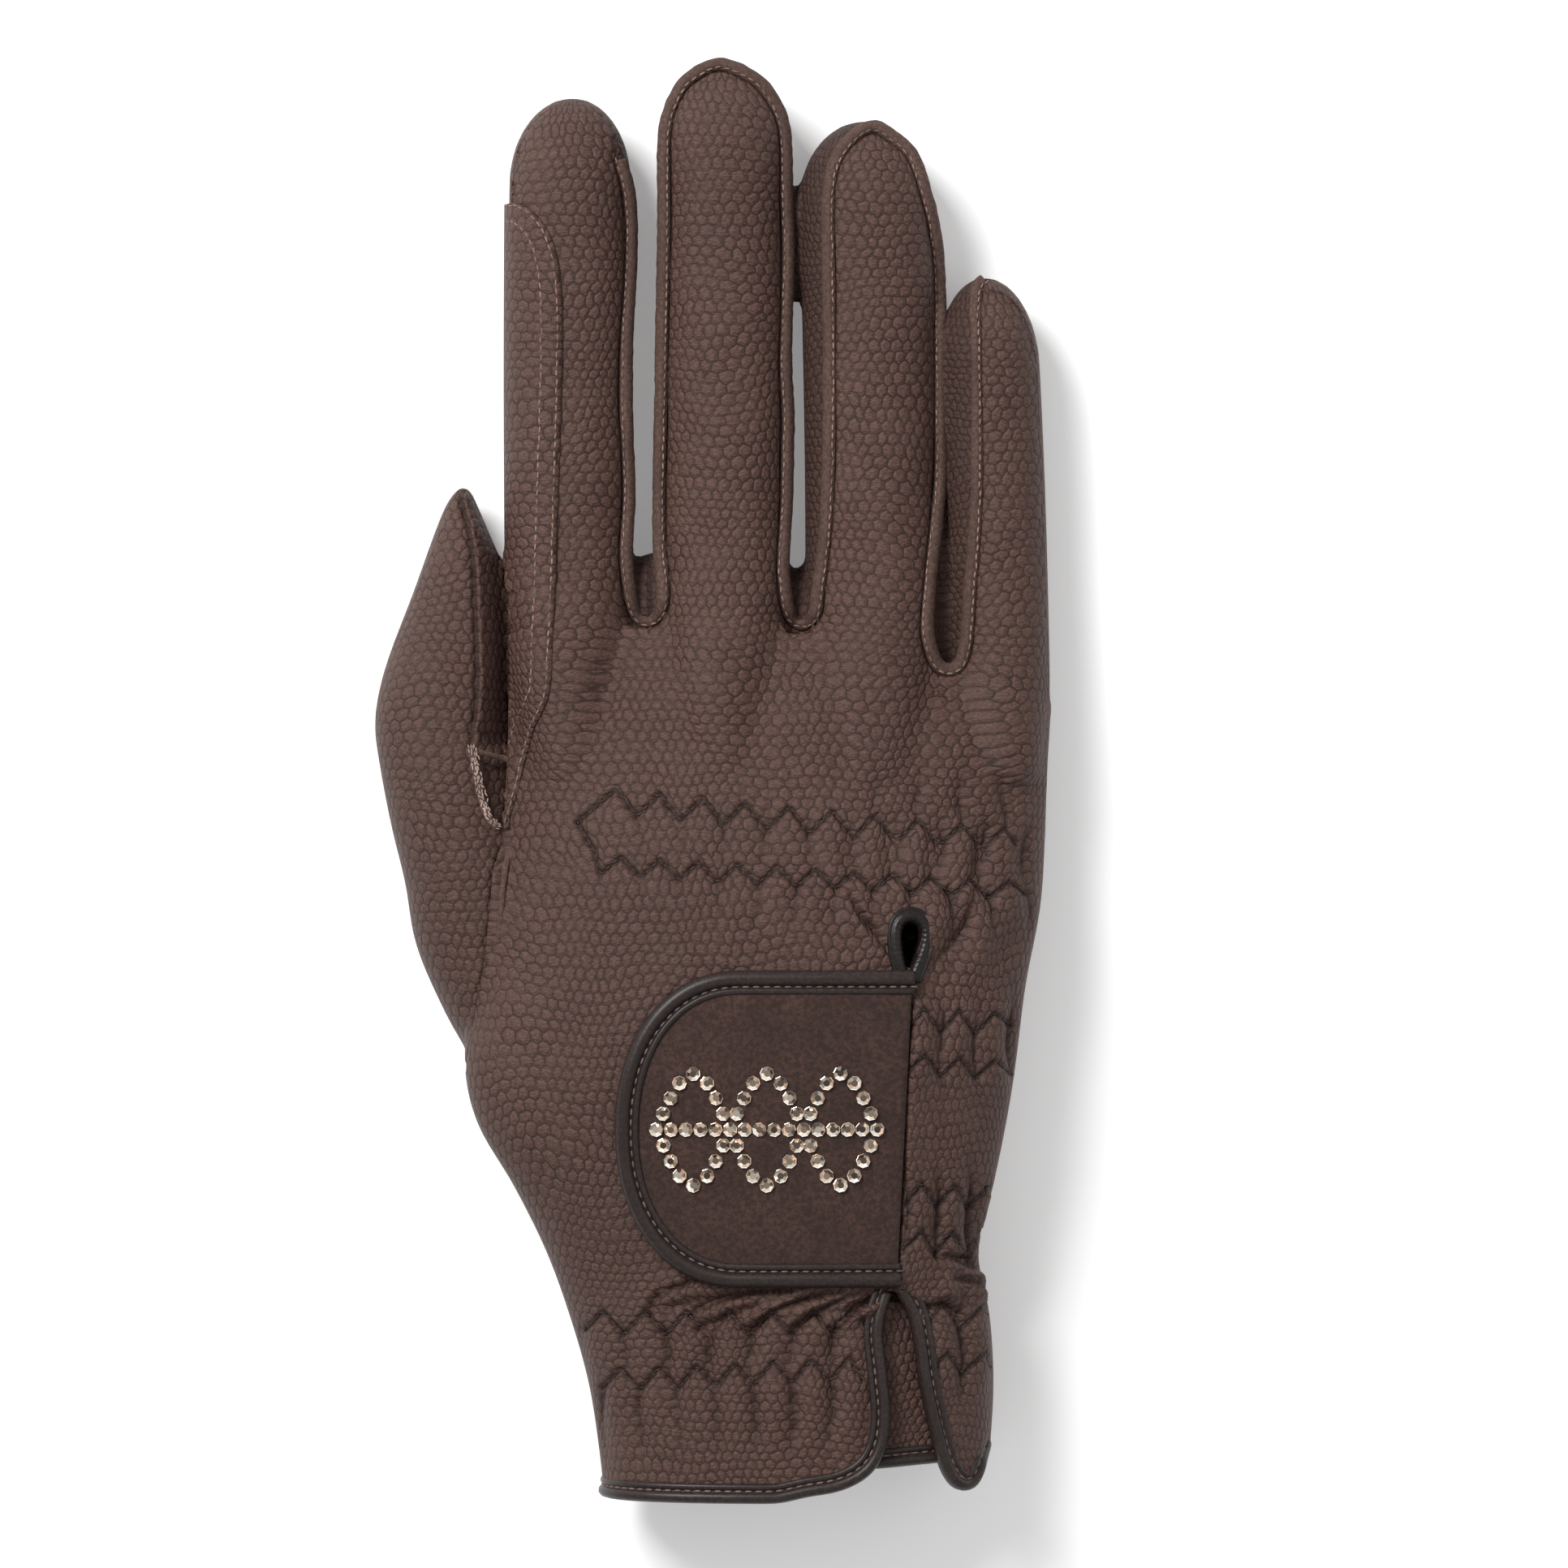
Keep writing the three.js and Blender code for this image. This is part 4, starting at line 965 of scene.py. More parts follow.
def lipStrip(name, edge, way, lip, tree):
    chance = np.random.default_rng(7)
    stitch = evenly(softened(edge + way * (lip["wide"] - 0.05), 2), 0.5)
    out = -softened(sideways(stitch), 2)
    height = softened(skinHeight(stitch - out * 0.3, tree), 8)
    wide, thick = lip["wide"], lip["thick"]
    ragged = softened(chance.normal(0, lip["fray"], len(stitch)), 1)
    profile = [(-0.6, -0.5), (-0.2, -0.12), (0.12, -0.06), (0.42, 0.2), (0.9, 0.26), (1.35, 0.2),
               (wide - 0.2, 0.08), (wide, -0.12), (wide - 0.03, -thick * 0.55), (wide - 0.12, -thick + 0.1),
               (wide - 0.5, -thick), (0.3, -thick - 0.1), (-0.6, -thick - 0.2)]
    rings = []
    for k in range(len(stitch)):
        ring = []
        for d, lift in profile:
            reach = d + (ragged[k] if d > 1.3 * wide / 1.8 else 0)
            drop = lip["droop"] * max(d / wide, 0) ** 2
            ring.append([*(stitch[k] + out[k] * reach), height[k] + lift - drop])
        rings.append(np.array(ring))
    piece = outwards(makeMesh(name, *loft(rings)))
    return piece, stitch, height


stitches = {
    "seam": {"length": 1.1, "thick": 0.32, "pitch": 1.55},
    "zigzag": {"length": 1.25, "thick": 0.36, "pitch": 1.5},
    "binding": {"length": 1.2, "thick": 0.42},
    "fray": {"length": 0.75, "thick": 0.24, "pitch": 0.8},
}


def turnedSeed(sides, rings):
    # a closed shape turned round the x axis, from the place and the radius of each ring of corners
    angle = 2 * math.pi * np.arange(sides) / sides
    y, z = np.cos(angle), np.sin(angle)
    return loft([np.stack([np.full(sides, x), r * y, r * z], axis=1) for x, r in rings])


def stitchSeed(length, thick):
    # one stitch, laid many times along a line
    r, tip = thick / 2, thick / 2 * 0.45
    return turnedSeed(6, [(-length / 2, tip), (-length / 4, r), (length / 4, r), (length / 2, tip)])


def copiesOf(name, seed, spots, runs, ups):
    base, shapes = seed
    spots, runs, ups = (np.asarray(a, float) for a in (spots, runs, ups))
    runs = runs / (np.linalg.norm(runs, axis=1)[:, None] + 1e-9)
    ups = ups - runs * (ups * runs).sum(axis=1)[:, None]
    ups /= np.linalg.norm(ups, axis=1)[:, None] + 1e-9
    across = np.cross(ups, runs)
    allPoints, allFaces = [], []
    for k in range(len(spots)):
        turn = np.stack([runs[k], across[k], ups[k]])
        allPoints.append(spots[k] + base @ turn)
        allFaces += [tuple(i + k * len(base) for i in f) for f in shapes]
    return makeMesh(name, np.vstack(allPoints), allFaces)


def stitchRow(line, heights, pitch, sink, chance):
    # spots and ways for stitches along a flat line over a surface
    path = evenly(np.column_stack([line, heights]), pitch)
    run = np.gradient(path, axis=0)
    jitter = chance.normal(0, 0.05, (len(path), 3))
    spots = path + jitter * [1, 1, 0.2] - [0, 0, sink]
    turn = chance.normal(0, 0.09, len(path))
    length = np.linalg.norm(run, axis=1)[:, None]
    run = run + np.column_stack([-run[:, 1], run[:, 0], np.zeros(len(path))]) * turn[:, None]
    return spots, run / length, np.tile([0, 0, 1.0], (len(path), 1))


chance = np.random.default_rng(31)
backTree = treeOf(back)
thumbTree = treeOf(thumb)
lips, fingerStitchLine, fingerStitchHeight = lipStrip("finger_seams", fingerEdge, edgeWay, seamLip, skinTree)
thumbSeamLine = smoothLine(toHand(seamLines["thumb"]), 0.5)
thumbLipPiece, _, _ = lipStrip("thumb_seam", thumbSeamLine, -sideways(thumbSeamLine), thumbLip, skinTree)
pocketEdge = {"wide": 1.5, "thick": 0.5, "droop": 0.5, "fray": 0.25}
pocketRun = [(569, 922), (574, 950), (579, 975), (586, 1000), (594, 1018), (606, 1030)]
pocketLine = smoothLine(toHand(pocketRun), 0.3)
pocketLip, pocketStitch, pocketHeight = lipStrip(
    "thumb_opening_edge", pocketLine, -sideways(pocketLine), pocketEdge, thumbTree)
barLine = smoothLine(toHand([(582, 924), (600, 929), (616, 933), (632, 937)]), 0.3)
barStitch = smoothLine(toHand([(594, 937), (614, 943), (631, 947)]), 0.3)
seamPitch = stitches["seam"]["pitch"]
seamThreads = [stitchRow(fingerStitchLine, fingerStitchHeight, seamPitch, -0.02, chance)]
print("seams:", len(lips.data.polygons), "faces")

# the rein patch over the index finger's outer side
patch = {
    "edge": [(618, 249), (640, 252), (657, 264), (673, 284), (684, 312), (690, 350), (692, 400), (691, 480),
             (689, 560), (686, 640), (684, 720), (681, 790), (678, 850), (670, 875), (658, 900), (648, 935),
             (639, 975), (624, 1026)],
    "lift": 0.12, "thick": 0.75, "low": 4.7, "left": -49.2, "columns": 26, "rows": 150,
    "ends": (114.6, 222.4), "sweep": (215, 50), "rowInsets": (0.55, 3.35),
}


def patchRow(y, edgeX):
    index = fingers[0]
    centreX = float(fingerCentre(index, max(y, 128)))
    centreZ = float(fingerHeight(index, y)) / 2 if y > 150 else 9.5
    row = []
    for angle in np.linspace(*(math.radians(degrees) for degrees in patch["sweep"]), patch["rows"]):
        way = Vector((math.cos(angle), 0, math.sin(angle)))
        place, out, _, _ = skinTree.ray_cast(Vector((centreX, y, centreZ)), way)
        if place and place.z > patch["low"] - 0.6 and place.x > patch["left"]:
            row.append([*place, *(out if out.dot(way) > 0 else -out)])
    row = np.array(row)
    keep = row[:, 0] <= edgeX + 0.4
    if keep.sum() < 3:
        keep[:3] = True
    return evenly(row[keep], 0.1)


def patchShape():
    edge = smoothLine(toHand(patch["edge"]), 0.5)
    order = np.argsort(edge[:, 1])
    edgeY, edgeX = edge[order, 1], edge[order, 0]
    rings, grid = [], []
    share = np.linspace(0, 1, patch["columns"])
    for y in np.linspace(*patch["ends"], patch["rows"]):
        row = patchRow(y, np.interp(y, edgeY, edgeX))
        own = np.linspace(0, 1, len(row))
        grid.append(np.stack([np.interp(share, own, row[:, k]) for k in range(6)], axis=1))
    grid = np.array(grid)
    for k in range(6):
        grid[1:-1, :, k] = (grid[:-2, :, k] + 2 * grid[1:-1, :, k] + grid[2:, :, k]) / 4
    for row in grid:
        spot, out = row[:, :3], row[:, 3:] / np.linalg.norm(row[:, 3:], axis=1)[:, None]
        swell = np.minimum(share * 12, 1) * np.minimum(share[::-1] * 14, 1)
        topSide = spot + out * (patch["lift"] + patch["thick"] * (0.55 + 0.45 * swell))[:, None]
        rings.append(np.vstack([topSide, (spot + out * (patch["lift"] - 0.3))[::-1]]))
    return outwards(makeMesh("index_patch", *loft(rings))), edge


patchPiece, patchLine = patchShape()
setGrain(patchPiece, "back", 2.1)
patchTree = treeOf(patchPiece)
for inset in patch["rowInsets"]:
    line = softened(patchLine + sideways(patchLine) * inset, 4)
    line = line[(line[:, 0] > -47.2) & (line[:, 1] > 116)]
    line = evenly(line, 0.5)
    seamThreads.append(stitchRow(line, skinHeight(line, patchTree), seamPitch, 0.02, chance))
print("patch:", len(patchPiece.data.polygons), "faces")

# tapes: a closed profile swept along a path that carries the way out of the surface
rolledEdge = [(-1.7, -0.9), (-1.78, 0.1), (-1.55, 0.85), (-1.0, 1.3), (-0.35, 1.25), (0.05, 0.9), (0.22, 0.5),
              (0.5, 0.42), (0.7, 0.82), (1.0, 0.98), (1.4, 0.9), (1.66, 0.55), (1.7, -0.6)]
binding = {"edge": rolledEdge, "thread": (0.37, 0.60), "pitch": 1.75, "inset": 1.75}


def tape(name, spots, outs, profile, ripple=None):
    spots, outs = np.asarray(spots, float), np.asarray(outs, float)
    run = np.gradient(spots, axis=0)
    run /= np.linalg.norm(run, axis=1)[:, None] + 1e-9
    outs = outs - run * (outs * run).sum(axis=1)[:, None]
    outs /= np.linalg.norm(outs, axis=1)[:, None] + 1e-9
    side = np.cross(run, outs)
    ripple = np.zeros(len(spots)) if ripple is None else ripple  # puckers the inner half of the tape
    rings = [np.array([spots[k] + side[k] * u + outs[k] * (v + ripple[k] * (u > 0.2)) for u, v in profile])
             for k in range(len(spots))]
    return outwards(makeMesh(name, *loft(rings))), side, outs


barEdge = [(-0.5, -0.6), (-0.5, 0.1), (-0.25, 0.3), (0.2, 0.3), (0.5, 0.0), (0.5, -0.6)]


def overSkin(line, sink=0.45, tree=None):
    spots, outs = [], []
    last = None
    for x, y in line:
        place, out = fromAbove(x, y, tree)
        if place:
            last = (place.z, out)
        spots.append([x, y, (last[0] if last else 20) - sink])
        outs.append(list(last[1]) if last else [0, 0, 1])
    spots, outs = np.array(spots), np.array(outs)
    spots[:, 2] = softened(spots[:, 2], 6)
    return spots, softened(outs, 8)


def hemAt(angle):
    left, right, middle, top = (float(v) for v in bodySection(0.01))
    c, s = math.cos(angle), math.sin(angle)
    power = 2 / glove["bodyPower"]
    x = (left + right) / 2 + ((right - left) / 2 - 0.5) * math.copysign(abs(c) ** power, c)
    z = middle + (top - middle - 0.5) * math.copysign(abs(s) ** power, s)
    rise = float(hemRise((angle - math.pi) / math.pi))
    out = [math.copysign(abs(c) ** (2 - power), c), 0, math.copysign(abs(s) ** (2 - power), s)]
    if z < 1.4:
        out = [out[0] * 0.3, 0, -1]
    return [x, rise + 1.75 - 0.2, max(z, 1.3)], out


def cuffRun():
    # down the slit's left edge, round the hem and up the right edge
    a, an = overSkin(slitLeft[::-1] + sideways(slitLeft[::-1]) * binding["inset"])
    b, bn = overSkin(slitRight[::-1] + sideways(slitRight[::-1]) * binding["inset"])
    hems = [hemAt(t) for t in np.linspace(1.62, 2 * math.pi + 0.08, 120)]
    spots = np.vstack([a[:-2], [h[0] for h in hems], b[3:]])
    outs = np.vstack([an[:-2], [h[1] for h in hems], bn[3:]])
    both = evenly(np.hstack([spots, outs]), 0.7)
    both = np.hstack([softened(both[:, :3], 6), softened(both[:, 3:], 10)])
    return both[:, :3], both[:, 3:]


cuffSpots, cuffOuts = cuffRun()
cuffPiece, cuffSide, cuffOut = tape("cuff_binding", cuffSpots, cuffOuts, binding["edge"])


def tapeThreads(spots, side, outs, thread, pitch):
    at = spots + side * thread[0] + outs * thread[1]
    both = evenly(np.hstack([at, outs]), pitch)
    return both[:, :3], np.gradient(both[:, :3], axis=0), both[:, 3:]


bindingThreads = [tapeThreads(cuffSpots, cuffSide, cuffOut, binding["thread"], binding["pitch"])]

# the slit's round top is bound in a fat puckered roll
slitTop = {
    "path": [(1115, 1204), (1108, 1188), (1104, 1167), (1103, 1147), (1108, 1133), (1121, 1127), (1134, 1133),
             (1139, 1147), (1137, 1165), (1130, 1184), (1122, 1204)],
    "roll": [(-1.55, -0.9), (-1.6, 0.1), (-1.45, 0.42), (-1.2, 0.45), (-1.02, 0.22), (-0.75, 0.62),
             (-0.25, 0.85), (0.3, 0.72), (0.75, 0.3), (1.05, -0.4), (1.1, -1.8)],
    "pucker": 0.07,
}
slitTopPath = smoothLine(toHand(slitTop["path"]), 0.2)
spots, outs = overSkin(slitTopPath, -0.2)
steps = np.arange(len(spots))
ripple = slitTop["pucker"] * np.sin(steps * 1.4) * (1 + 0.5 * np.sin(steps * 0.31))
teardropPiece, _, _ = tape("slit_binding", spots, outs, slitTop["roll"], ripple)
spots, outs = overSkin(barLine, 0.05, thumbTree)
barPiece, _, _ = tape("thumb_opening_bar", spots, outs, barEdge)

# the flap under the wrist slit, with its own bound hem
underlap = {
    "left": 1064, "right": 1184, "top": 1598, "bottom": 1800, "slant": 0.07, "hemInset": 11,
    "drop": 2.6, "thick": 1.2, "wave": 0.35, "columns": 22, "rows": 40,
}


def underlapRow(y, columns):
    # a row of places across the flap, which starts at the given pixel on its left side
    xs = np.linspace(underlap["left"], underlap["right"], columns)
    line = toHand([(x, y - (x - underlap["left"]) * underlap["slant"]) for x in xs])
    z = bodyTop(line[:, 0], np.maximum(line[:, 1], 0)) - underlap["drop"]
    return np.column_stack([line, z + underlap["wave"] * np.sin((line[:, 0] - 14) / 2.3)])


def underlapShape():
    rings = []
    for y in np.linspace(underlap["bottom"], underlap["top"], underlap["rows"]):
        top = underlapRow(y, underlap["columns"])
        rings.append(np.vstack([top, (top - [0, 0, underlap["thick"]])[::-1]]))
    piece = outwards(makeMesh("slit_underlap", *loft(rings)))
    setGrain(piece, "back", 0.9)
    hemRow = underlapRow(underlap["bottom"] - underlap["hemInset"], underlap["rows"])
    return piece, hemRow[::-1] - [0, 0, underlap["thick"] / 2]


underlapPiece, hemSpots = underlapShape()
hemOuts = np.tile([0, 0, 1.0], (len(hemSpots), 1))
underlapHem, hemSide, hemOut = tape("underlap_hem", hemSpots, hemOuts, binding["edge"])
bindingThreads.append(tapeThreads(hemSpots, hemSide, hemOut, binding["thread"], binding["pitch"]))
print("bindings:", len(cuffPiece.data.polygons) + len(teardropPiece.data.polygons), "faces")

# the closing tab: a suede panel in a wide rolled edge
strap = {
    "length": 48.0, "width": 54, "round": 0.44, "squareness": 2.15, "middleY": 0.423 * glove["bodyLength"],
    "rightX": 20.2, "slant": 0.05, "tuck": 1.2, "columns": 46, "rows": 70,
    "under": 0.35, "thick": 1.45, "edgeWide": 4.2, "crown": 0.35,
    "edge": [(-2.1, 0.0), (-2.15, 0.9), (-1.92, 1.75), (-1.3, 2.35), (-0.5, 2.45), (0.15, 2.15), (0.42, 1.65),
             (0.55, 1.42), (0.82, 1.42), (0.98, 1.85), (1.3, 2.02), (1.75, 1.94), (2.05, 1.5), (2.1, 0.0)],
    "thread": (0.68, 1.6), "pitch": 1.8,
}


def strapLeft(y, inset):
    share = np.clip(np.abs(y - strap["middleY"]) / (strap["width"] / 2 - inset), 0, 1)
    turn = strap["length"] * strap["round"] - inset
    power = strap["squareness"]
    return strap["rightX"] - strap["length"] + inset + turn * (1 - (1 - share ** power) ** (1 / power))


def strapRight(y):
    return strap["rightX"] + (y - strap["middleY"]) * strap["slant"] + strap["tuck"]


def strapSeat(x, y):
    return bodyTop(x, y) + strap["under"]


def bodyOut(x, y, reach=0.5):
    # the way out of the body's top, from how it slopes across the hand
    slope = bodyTop(x - reach, y) - bodyTop(x + reach, y)
    return np.column_stack([slope, np.zeros(len(x)), np.full(len(x), 2 * reach)])


def strapShape():
    inset = strap["edgeWide"] - 0.5
    reach = strap["width"] / 2 - inset
    share = np.linspace(0, 1, strap["columns"])
    rings = []
    for t in np.linspace(0.02, math.pi - 0.02, strap["rows"]):
        y = strap["middleY"] - reach * math.cos(t)
        x = np.linspace(strapLeft(y, inset), strapRight(y), strap["columns"])
        low = np.column_stack([x, np.full(len(x), y), strapSeat(x, y)])
        top = low.copy()
        top[:, 2] += strap["thick"] + strap["crown"] * np.sin(math.pi * share) * math.sin(t)
        rings.append(np.vstack([top, low[::-1]]))
    return outwards(makeMesh("strap", *loft(rings)))


def strapRun():
    inset = strap["edgeWide"] / 2
    reach = strap["width"] / 2 - inset
    line = [[strapRight(strap["middleY"] + reach), strap["middleY"] + reach]]
    for t in np.linspace(0, math.pi, 120):
        y = strap["middleY"] + reach * math.cos(t)
        line.append([strapLeft(y, inset), y])
    line.append([strapRight(strap["middleY"] - reach), strap["middleY"] - reach])
    line = evenly(softened(evenly(np.array(line), 0.7), 3), 0.7)[::-1]
    x, y = line[:, 0], line[:, 1]
    return np.column_stack([x, y, strapSeat(x, y)]), bodyOut(x, y)


strapPiece = strapShape()
strapSpots, strapOuts = strapRun()
strapEdge, strapSide, strapOut = tape("strap_binding", strapSpots, strapOuts, strap["edge"])
bindingThreads.append(tapeThreads(strapSpots, strapSide, strapOut, strap["thread"], strap["pitch"]))
print("strap:", len(strapPiece.data.polygons) + len(strapEdge.data.polygons), "faces")

# the crystals: two crossing waves with a straight row between them
crystals = {
    "wide": 2.5, "pitch": 3.0, "tall": 0.95, "lift": 0.22, "tilt": 0.045,
    "length": 37.5, "reach": 9.5, "lobes": 3, "middleX": -2.08,
}


def crystalPlaces():
    lobe = crystals["length"] / crystals["lobes"]
    spots = []
    for i in range(crystals["lobes"]):
        start = (i - crystals["lobes"] / 2) * lobe
        for side in (1, -1, 0):
            t = np.linspace(0, 1, 200)
            wave = np.column_stack([start + lobe * t, side * crystals["reach"] * np.sin(math.pi * t)])
            length = np.linalg.norm(np.diff(wave, axis=0), axis=1).sum()
            spots += list(evenly(wave, length / math.ceil(length / crystals["pitch"]))[1:-1])
        spots.append(np.array([start, 0]))
    spots.append(np.array([crystals["length"] / 2, 0]))
    return np.array(spots) + [crystals["middleX"], strap["middleY"]]


def crystalSeed():
    # a cut stone: eight facets round a table over an upright girdle, which the painted reflections below
    # colour dark
    r, tall = crystals["wide"] / 2, crystals["tall"]
    corners, facets = turnedSeed(8, [(0, r), (0.4 * tall, r), (0.45 * tall, 0.9 * r), (tall, 0.468 * r)])
    return corners[:, [1, 2, 0]], facets


spots = crystalPlaces()
lift = strapSeat(spots[:, 0], spots[:, 1]) + strap["thick"] + crystals["lift"]
ups = bodyOut(spots[:, 0], spots[:, 1])
ups = ups / np.linalg.norm(ups, axis=1)[:, None] + chance.normal(0, crystals["tilt"], (len(spots), 3))
turns = chance.uniform(0, 2 * math.pi, len(spots))
crystalPiece = copiesOf("crystals", crystalSeed(), np.column_stack([spots, lift]),
                        np.column_stack([np.cos(turns), np.sin(turns), np.zeros(len(turns))]), ups)
crystalPiece.data.polygons.foreach_set("use_smooth", [False] * len(crystalPiece.data.polygons))
paintedGlint = crystalPiece.data.attributes.new("paintedGlint", 'FLOAT_VECTOR', 'FACE')
print("crystals:", len(spots))


def paintedReflectionsOf(piece):
    # painted reflections: each facet shows its own bit of the room, bright below, dark above, in champagne
    # and peach
    lit = [(1.0, 0.96, 0.9), (1.0, 0.93, 0.84), (0.95, 0.8, 0.66)]
    mid = [(0.5, 0.38, 0.28), (0.32, 0.24, 0.17), (0.62, 0.42, 0.29), (0.2, 0.155, 0.12), (0.36, 0.33, 0.28)]
    dim = [(0.045, 0.034, 0.028), (0.12, 0.09, 0.07), (0.08, 0.06, 0.05), (0.22, 0.17, 0.13)]
    faces = piece.data.polygons
    eachStone = len(faces) // len(spots)
    colours = np.zeros((len(faces), 3))
    for start in range(0, len(faces), eachStone):
        own = range(start, start + eachStone)
        middle = sum((faces[k].center for k in own), Vector()) / eachStone
        toLight = Vector((chance.normal(-0.1, 0.25), -1, 0)).normalized()
        for k in own:
            face = faces[k]
            way = face.center - middle
            towards = Vector((way.x, way.y, 0)).normalized().dot(toLight) if way.length > 1e-5 else 0
            if face.normal.z < 0.35:
                pool = dim
            elif len(face.vertices) > 4:
                pool = dim + mid[3:]
            elif towards > 0.72:
                pool = lit
            else:
                pool = mid + (dim if towards < 0.2 else lit[2:])
            colours[k] = pool[chance.integers(len(pool))]
    return colours


paintedGlint.data.foreach_set("vector", paintedReflectionsOf(crystalPiece).ravel())

# threads
zigzagThreads = []
for line in zigzagLines:
    path = evenly(line, 0.3)
    outs = [fromAbove(x, y, backTree)[1] for x, y in path]
    path = path[[out is not None and out.z > 0.35 for out in outs]]
    heights = skinHeight(path, backTree)
    zigzagThreads.append(stitchRow(path, heights, stitches["zigzag"]["pitch"], 0.02, chance))


def threadPiece(kind, name, rows):
    spots, runs, ups = (np.vstack([row[k] for row in rows]) for k in range(3))
    seed = stitchSeed(stitches[kind]["length"], stitches[kind]["thick"])
    return copiesOf(name, seed, spots, runs, ups)


# frayed ends on the raw edge of the thumb's opening
frayRows = []
for inset in (0.25, 0.6, 0.95, 1.3):
    line = pocketStitch - sideways(pocketStitch) * inset
    rowSpots, rowRuns, rowUps = stitchRow(line, pocketHeight, stitches["fray"]["pitch"], -0.22, chance)
    frayRows.append((rowSpots + chance.normal(0, 0.14, rowSpots.shape) * [1, 1, 0.3],
                     rowRuns + chance.normal(0, 0.3, rowRuns.shape) * [1, 1, 0.2], rowUps))
zigzagThreads.append(stitchRow(barStitch, skinHeight(barStitch, thumbTree), 1.4, -0.1, chance))
frayThread = threadPiece("fray", "fray_threads", frayRows)
seamThread = threadPiece("seam", "seam_threads", seamThreads)
zigzagThread = threadPiece("zigzag", "zigzag_threads", zigzagThreads)
bindingThread = threadPiece("binding", "binding_threads", bindingThreads)
print("threads:", sum(len(p.data.polygons) for p in (seamThread, zigzagThread, bindingThread)), "faces")

# finishes
looks = {
    "grain": {"base": (0.088, 0.049, 0.039), "line": (0.024, 0.012, 0.009), "cell": 0.00208, "rough": 0.5},
    # the fourchettes' darker colour is painted shade: the same leather, darkened as the shaded sides between
    # the fingers
    "gusset": {"base": (0.060, 0.033, 0.026), "line": (0.022, 0.012, 0.010), "cell": 0.0016, "rough": 0.58},
    "rawEdge": {"base": (0.100, 0.058, 0.046), "line": (0.050, 0.027, 0.021),
                "scale": 1600, "rough": 0.8, "bump": 0.8},
    "frayed": {"base": (0.150, 0.094, 0.076), "line": (0.060, 0.034, 0.027),
               "scale": 2600, "rough": 0.9, "bump": 1.0},
    "binding": {"base": (0.033, 0.0225, 0.0205), "line": (0.017, 0.011, 0.010),
                "scale": 1500, "rough": 0.4, "bump": 0.35},
    "slitTop": {"base": (0.0135, 0.0095, 0.0088), "line": (0.007, 0.005, 0.0045),
                "scale": 1500, "rough": 0.36, "bump": 0.3},
    "suede": {"base": (0.056, 0.027, 0.020), "line": (0.018, 0.008, 0.006), "lint": (0.3, 0.24, 0.21),
              "rough": 0.95},
    "seamThread": {"base": (0.22, 0.14, 0.115)}, "zigzagThread": {"base": (0.030, 0.016, 0.012)},
    "bindingThread": {"base": (0.13, 0.09, 0.076)}, "frayedThread": {"base": (0.42, 0.31, 0.26)},
}


def newMaterial(name, rough):
    material = bpy.data.materials.new(name)
    material.use_nodes = True
    tree = material.node_tree
    shader = tree.nodes["Principled BSDF"]
    shader.inputs["Roughness"].default_value = rough
    return material, tree, shader


def add(tree, kind, **values):
    node = tree.nodes.new(kind)
    for key, value in values.items():
        if hasattr(node, key):
            setattr(node, key, value)
        else:
            node.inputs[key].default_value = value
    return node


def mixed(tree, share, one, other):
    # colour between two, by a share that is a socket or a number
    node = tree.nodes.new("ShaderNodeMix")
    node.data_type = 'RGBA'
    for index, value in ((0, share), (6, one), (7, other)):
        if isinstance(value, bpy.types.NodeSocket):
            tree.links.new(value, node.inputs[index])
        elif index:
            node.inputs[index].default_value = (*value, 1)
        else:
            node.inputs[index].default_value = value
    return node.outputs[2]


def ranged(tree, value, low, high, toLow=0.0, toHigh=1.0, smooth=True):
    node = tree.nodes.new("ShaderNodeMapRange")
    node.interpolation_type = 'SMOOTHSTEP' if smooth else 'LINEAR'
    tree.links.new(value, node.inputs["Value"])
    for key, number in (("From Min", low), ("From Max", high), ("To Min", toLow), ("To Max", toHigh)):
        node.inputs[key].default_value = number
    return node.outputs["Result"]


def sumOf(tree, one, other, kind='ADD'):
    node = tree.nodes.new("ShaderNodeMath")
    node.operation = kind
    for index, value in enumerate((one, other)):
        if isinstance(value, bpy.types.NodeSocket):
            tree.links.new(value, node.inputs[index])
        else:
            node.inputs[index].default_value = value
    return node.outputs[0]


def vector(tree, kind, *values):
    node = tree.nodes.new("ShaderNodeVectorMath")
    node.operation = kind
    for index, value in enumerate(values):
        if isinstance(value, bpy.types.NodeSocket):
            tree.links.new(value, node.inputs[index])
        else:
            node.inputs[index].default_value = value
    return node.outputs["Value" if kind in ('DOT_PRODUCT', 'LENGTH') else "Vector"]


def honeycomb(tree, place):
    # how far each place lies from the edge of its six-sided cell, at one cell to the unit
    rise = math.sqrt(3) / 2
    distances = []
    for offset in ((0, 0, 0), (0.5, rise, 0)):
        moved = vector(tree, 'ADD', place, offset)
        held = vector(tree, 'ABSOLUTE', vector(tree, 'WRAP', moved, (0.5, rise, 0), (-0.5, -rise, 0)))
        flat = vector(tree, 'DOT_PRODUCT', held, (1, 0, 0))
        slant = vector(tree, 'DOT_PRODUCT', held, (0.5, rise, 0))
        distances.append(sumOf(tree, 0.5, sumOf(tree, flat, slant, 'MAXIMUM'), 'SUBTRACT'))
    return sumOf(tree, *distances, 'MAXIMUM')


def objectPlace(tree):
    return tree.nodes.new("ShaderNodeTexCoord").outputs["Object"]


def noise(tree, where, **values):
    node = add(tree, "ShaderNodeTexNoise", **values)
    tree.links.new(where, node.inputs["Vector"])
    return node.outputs["Fac"]


def bumped(tree, shader, height, strength, distance):
    bump = add(tree, "ShaderNodeBump", Strength=strength, Distance=distance)
    tree.links.new(height, bump.inputs["Height"])
    tree.links.new(bump.outputs["Normal"], shader.inputs["Normal"])


def shade(colour, share):
    return tuple(c * share for c in colour)


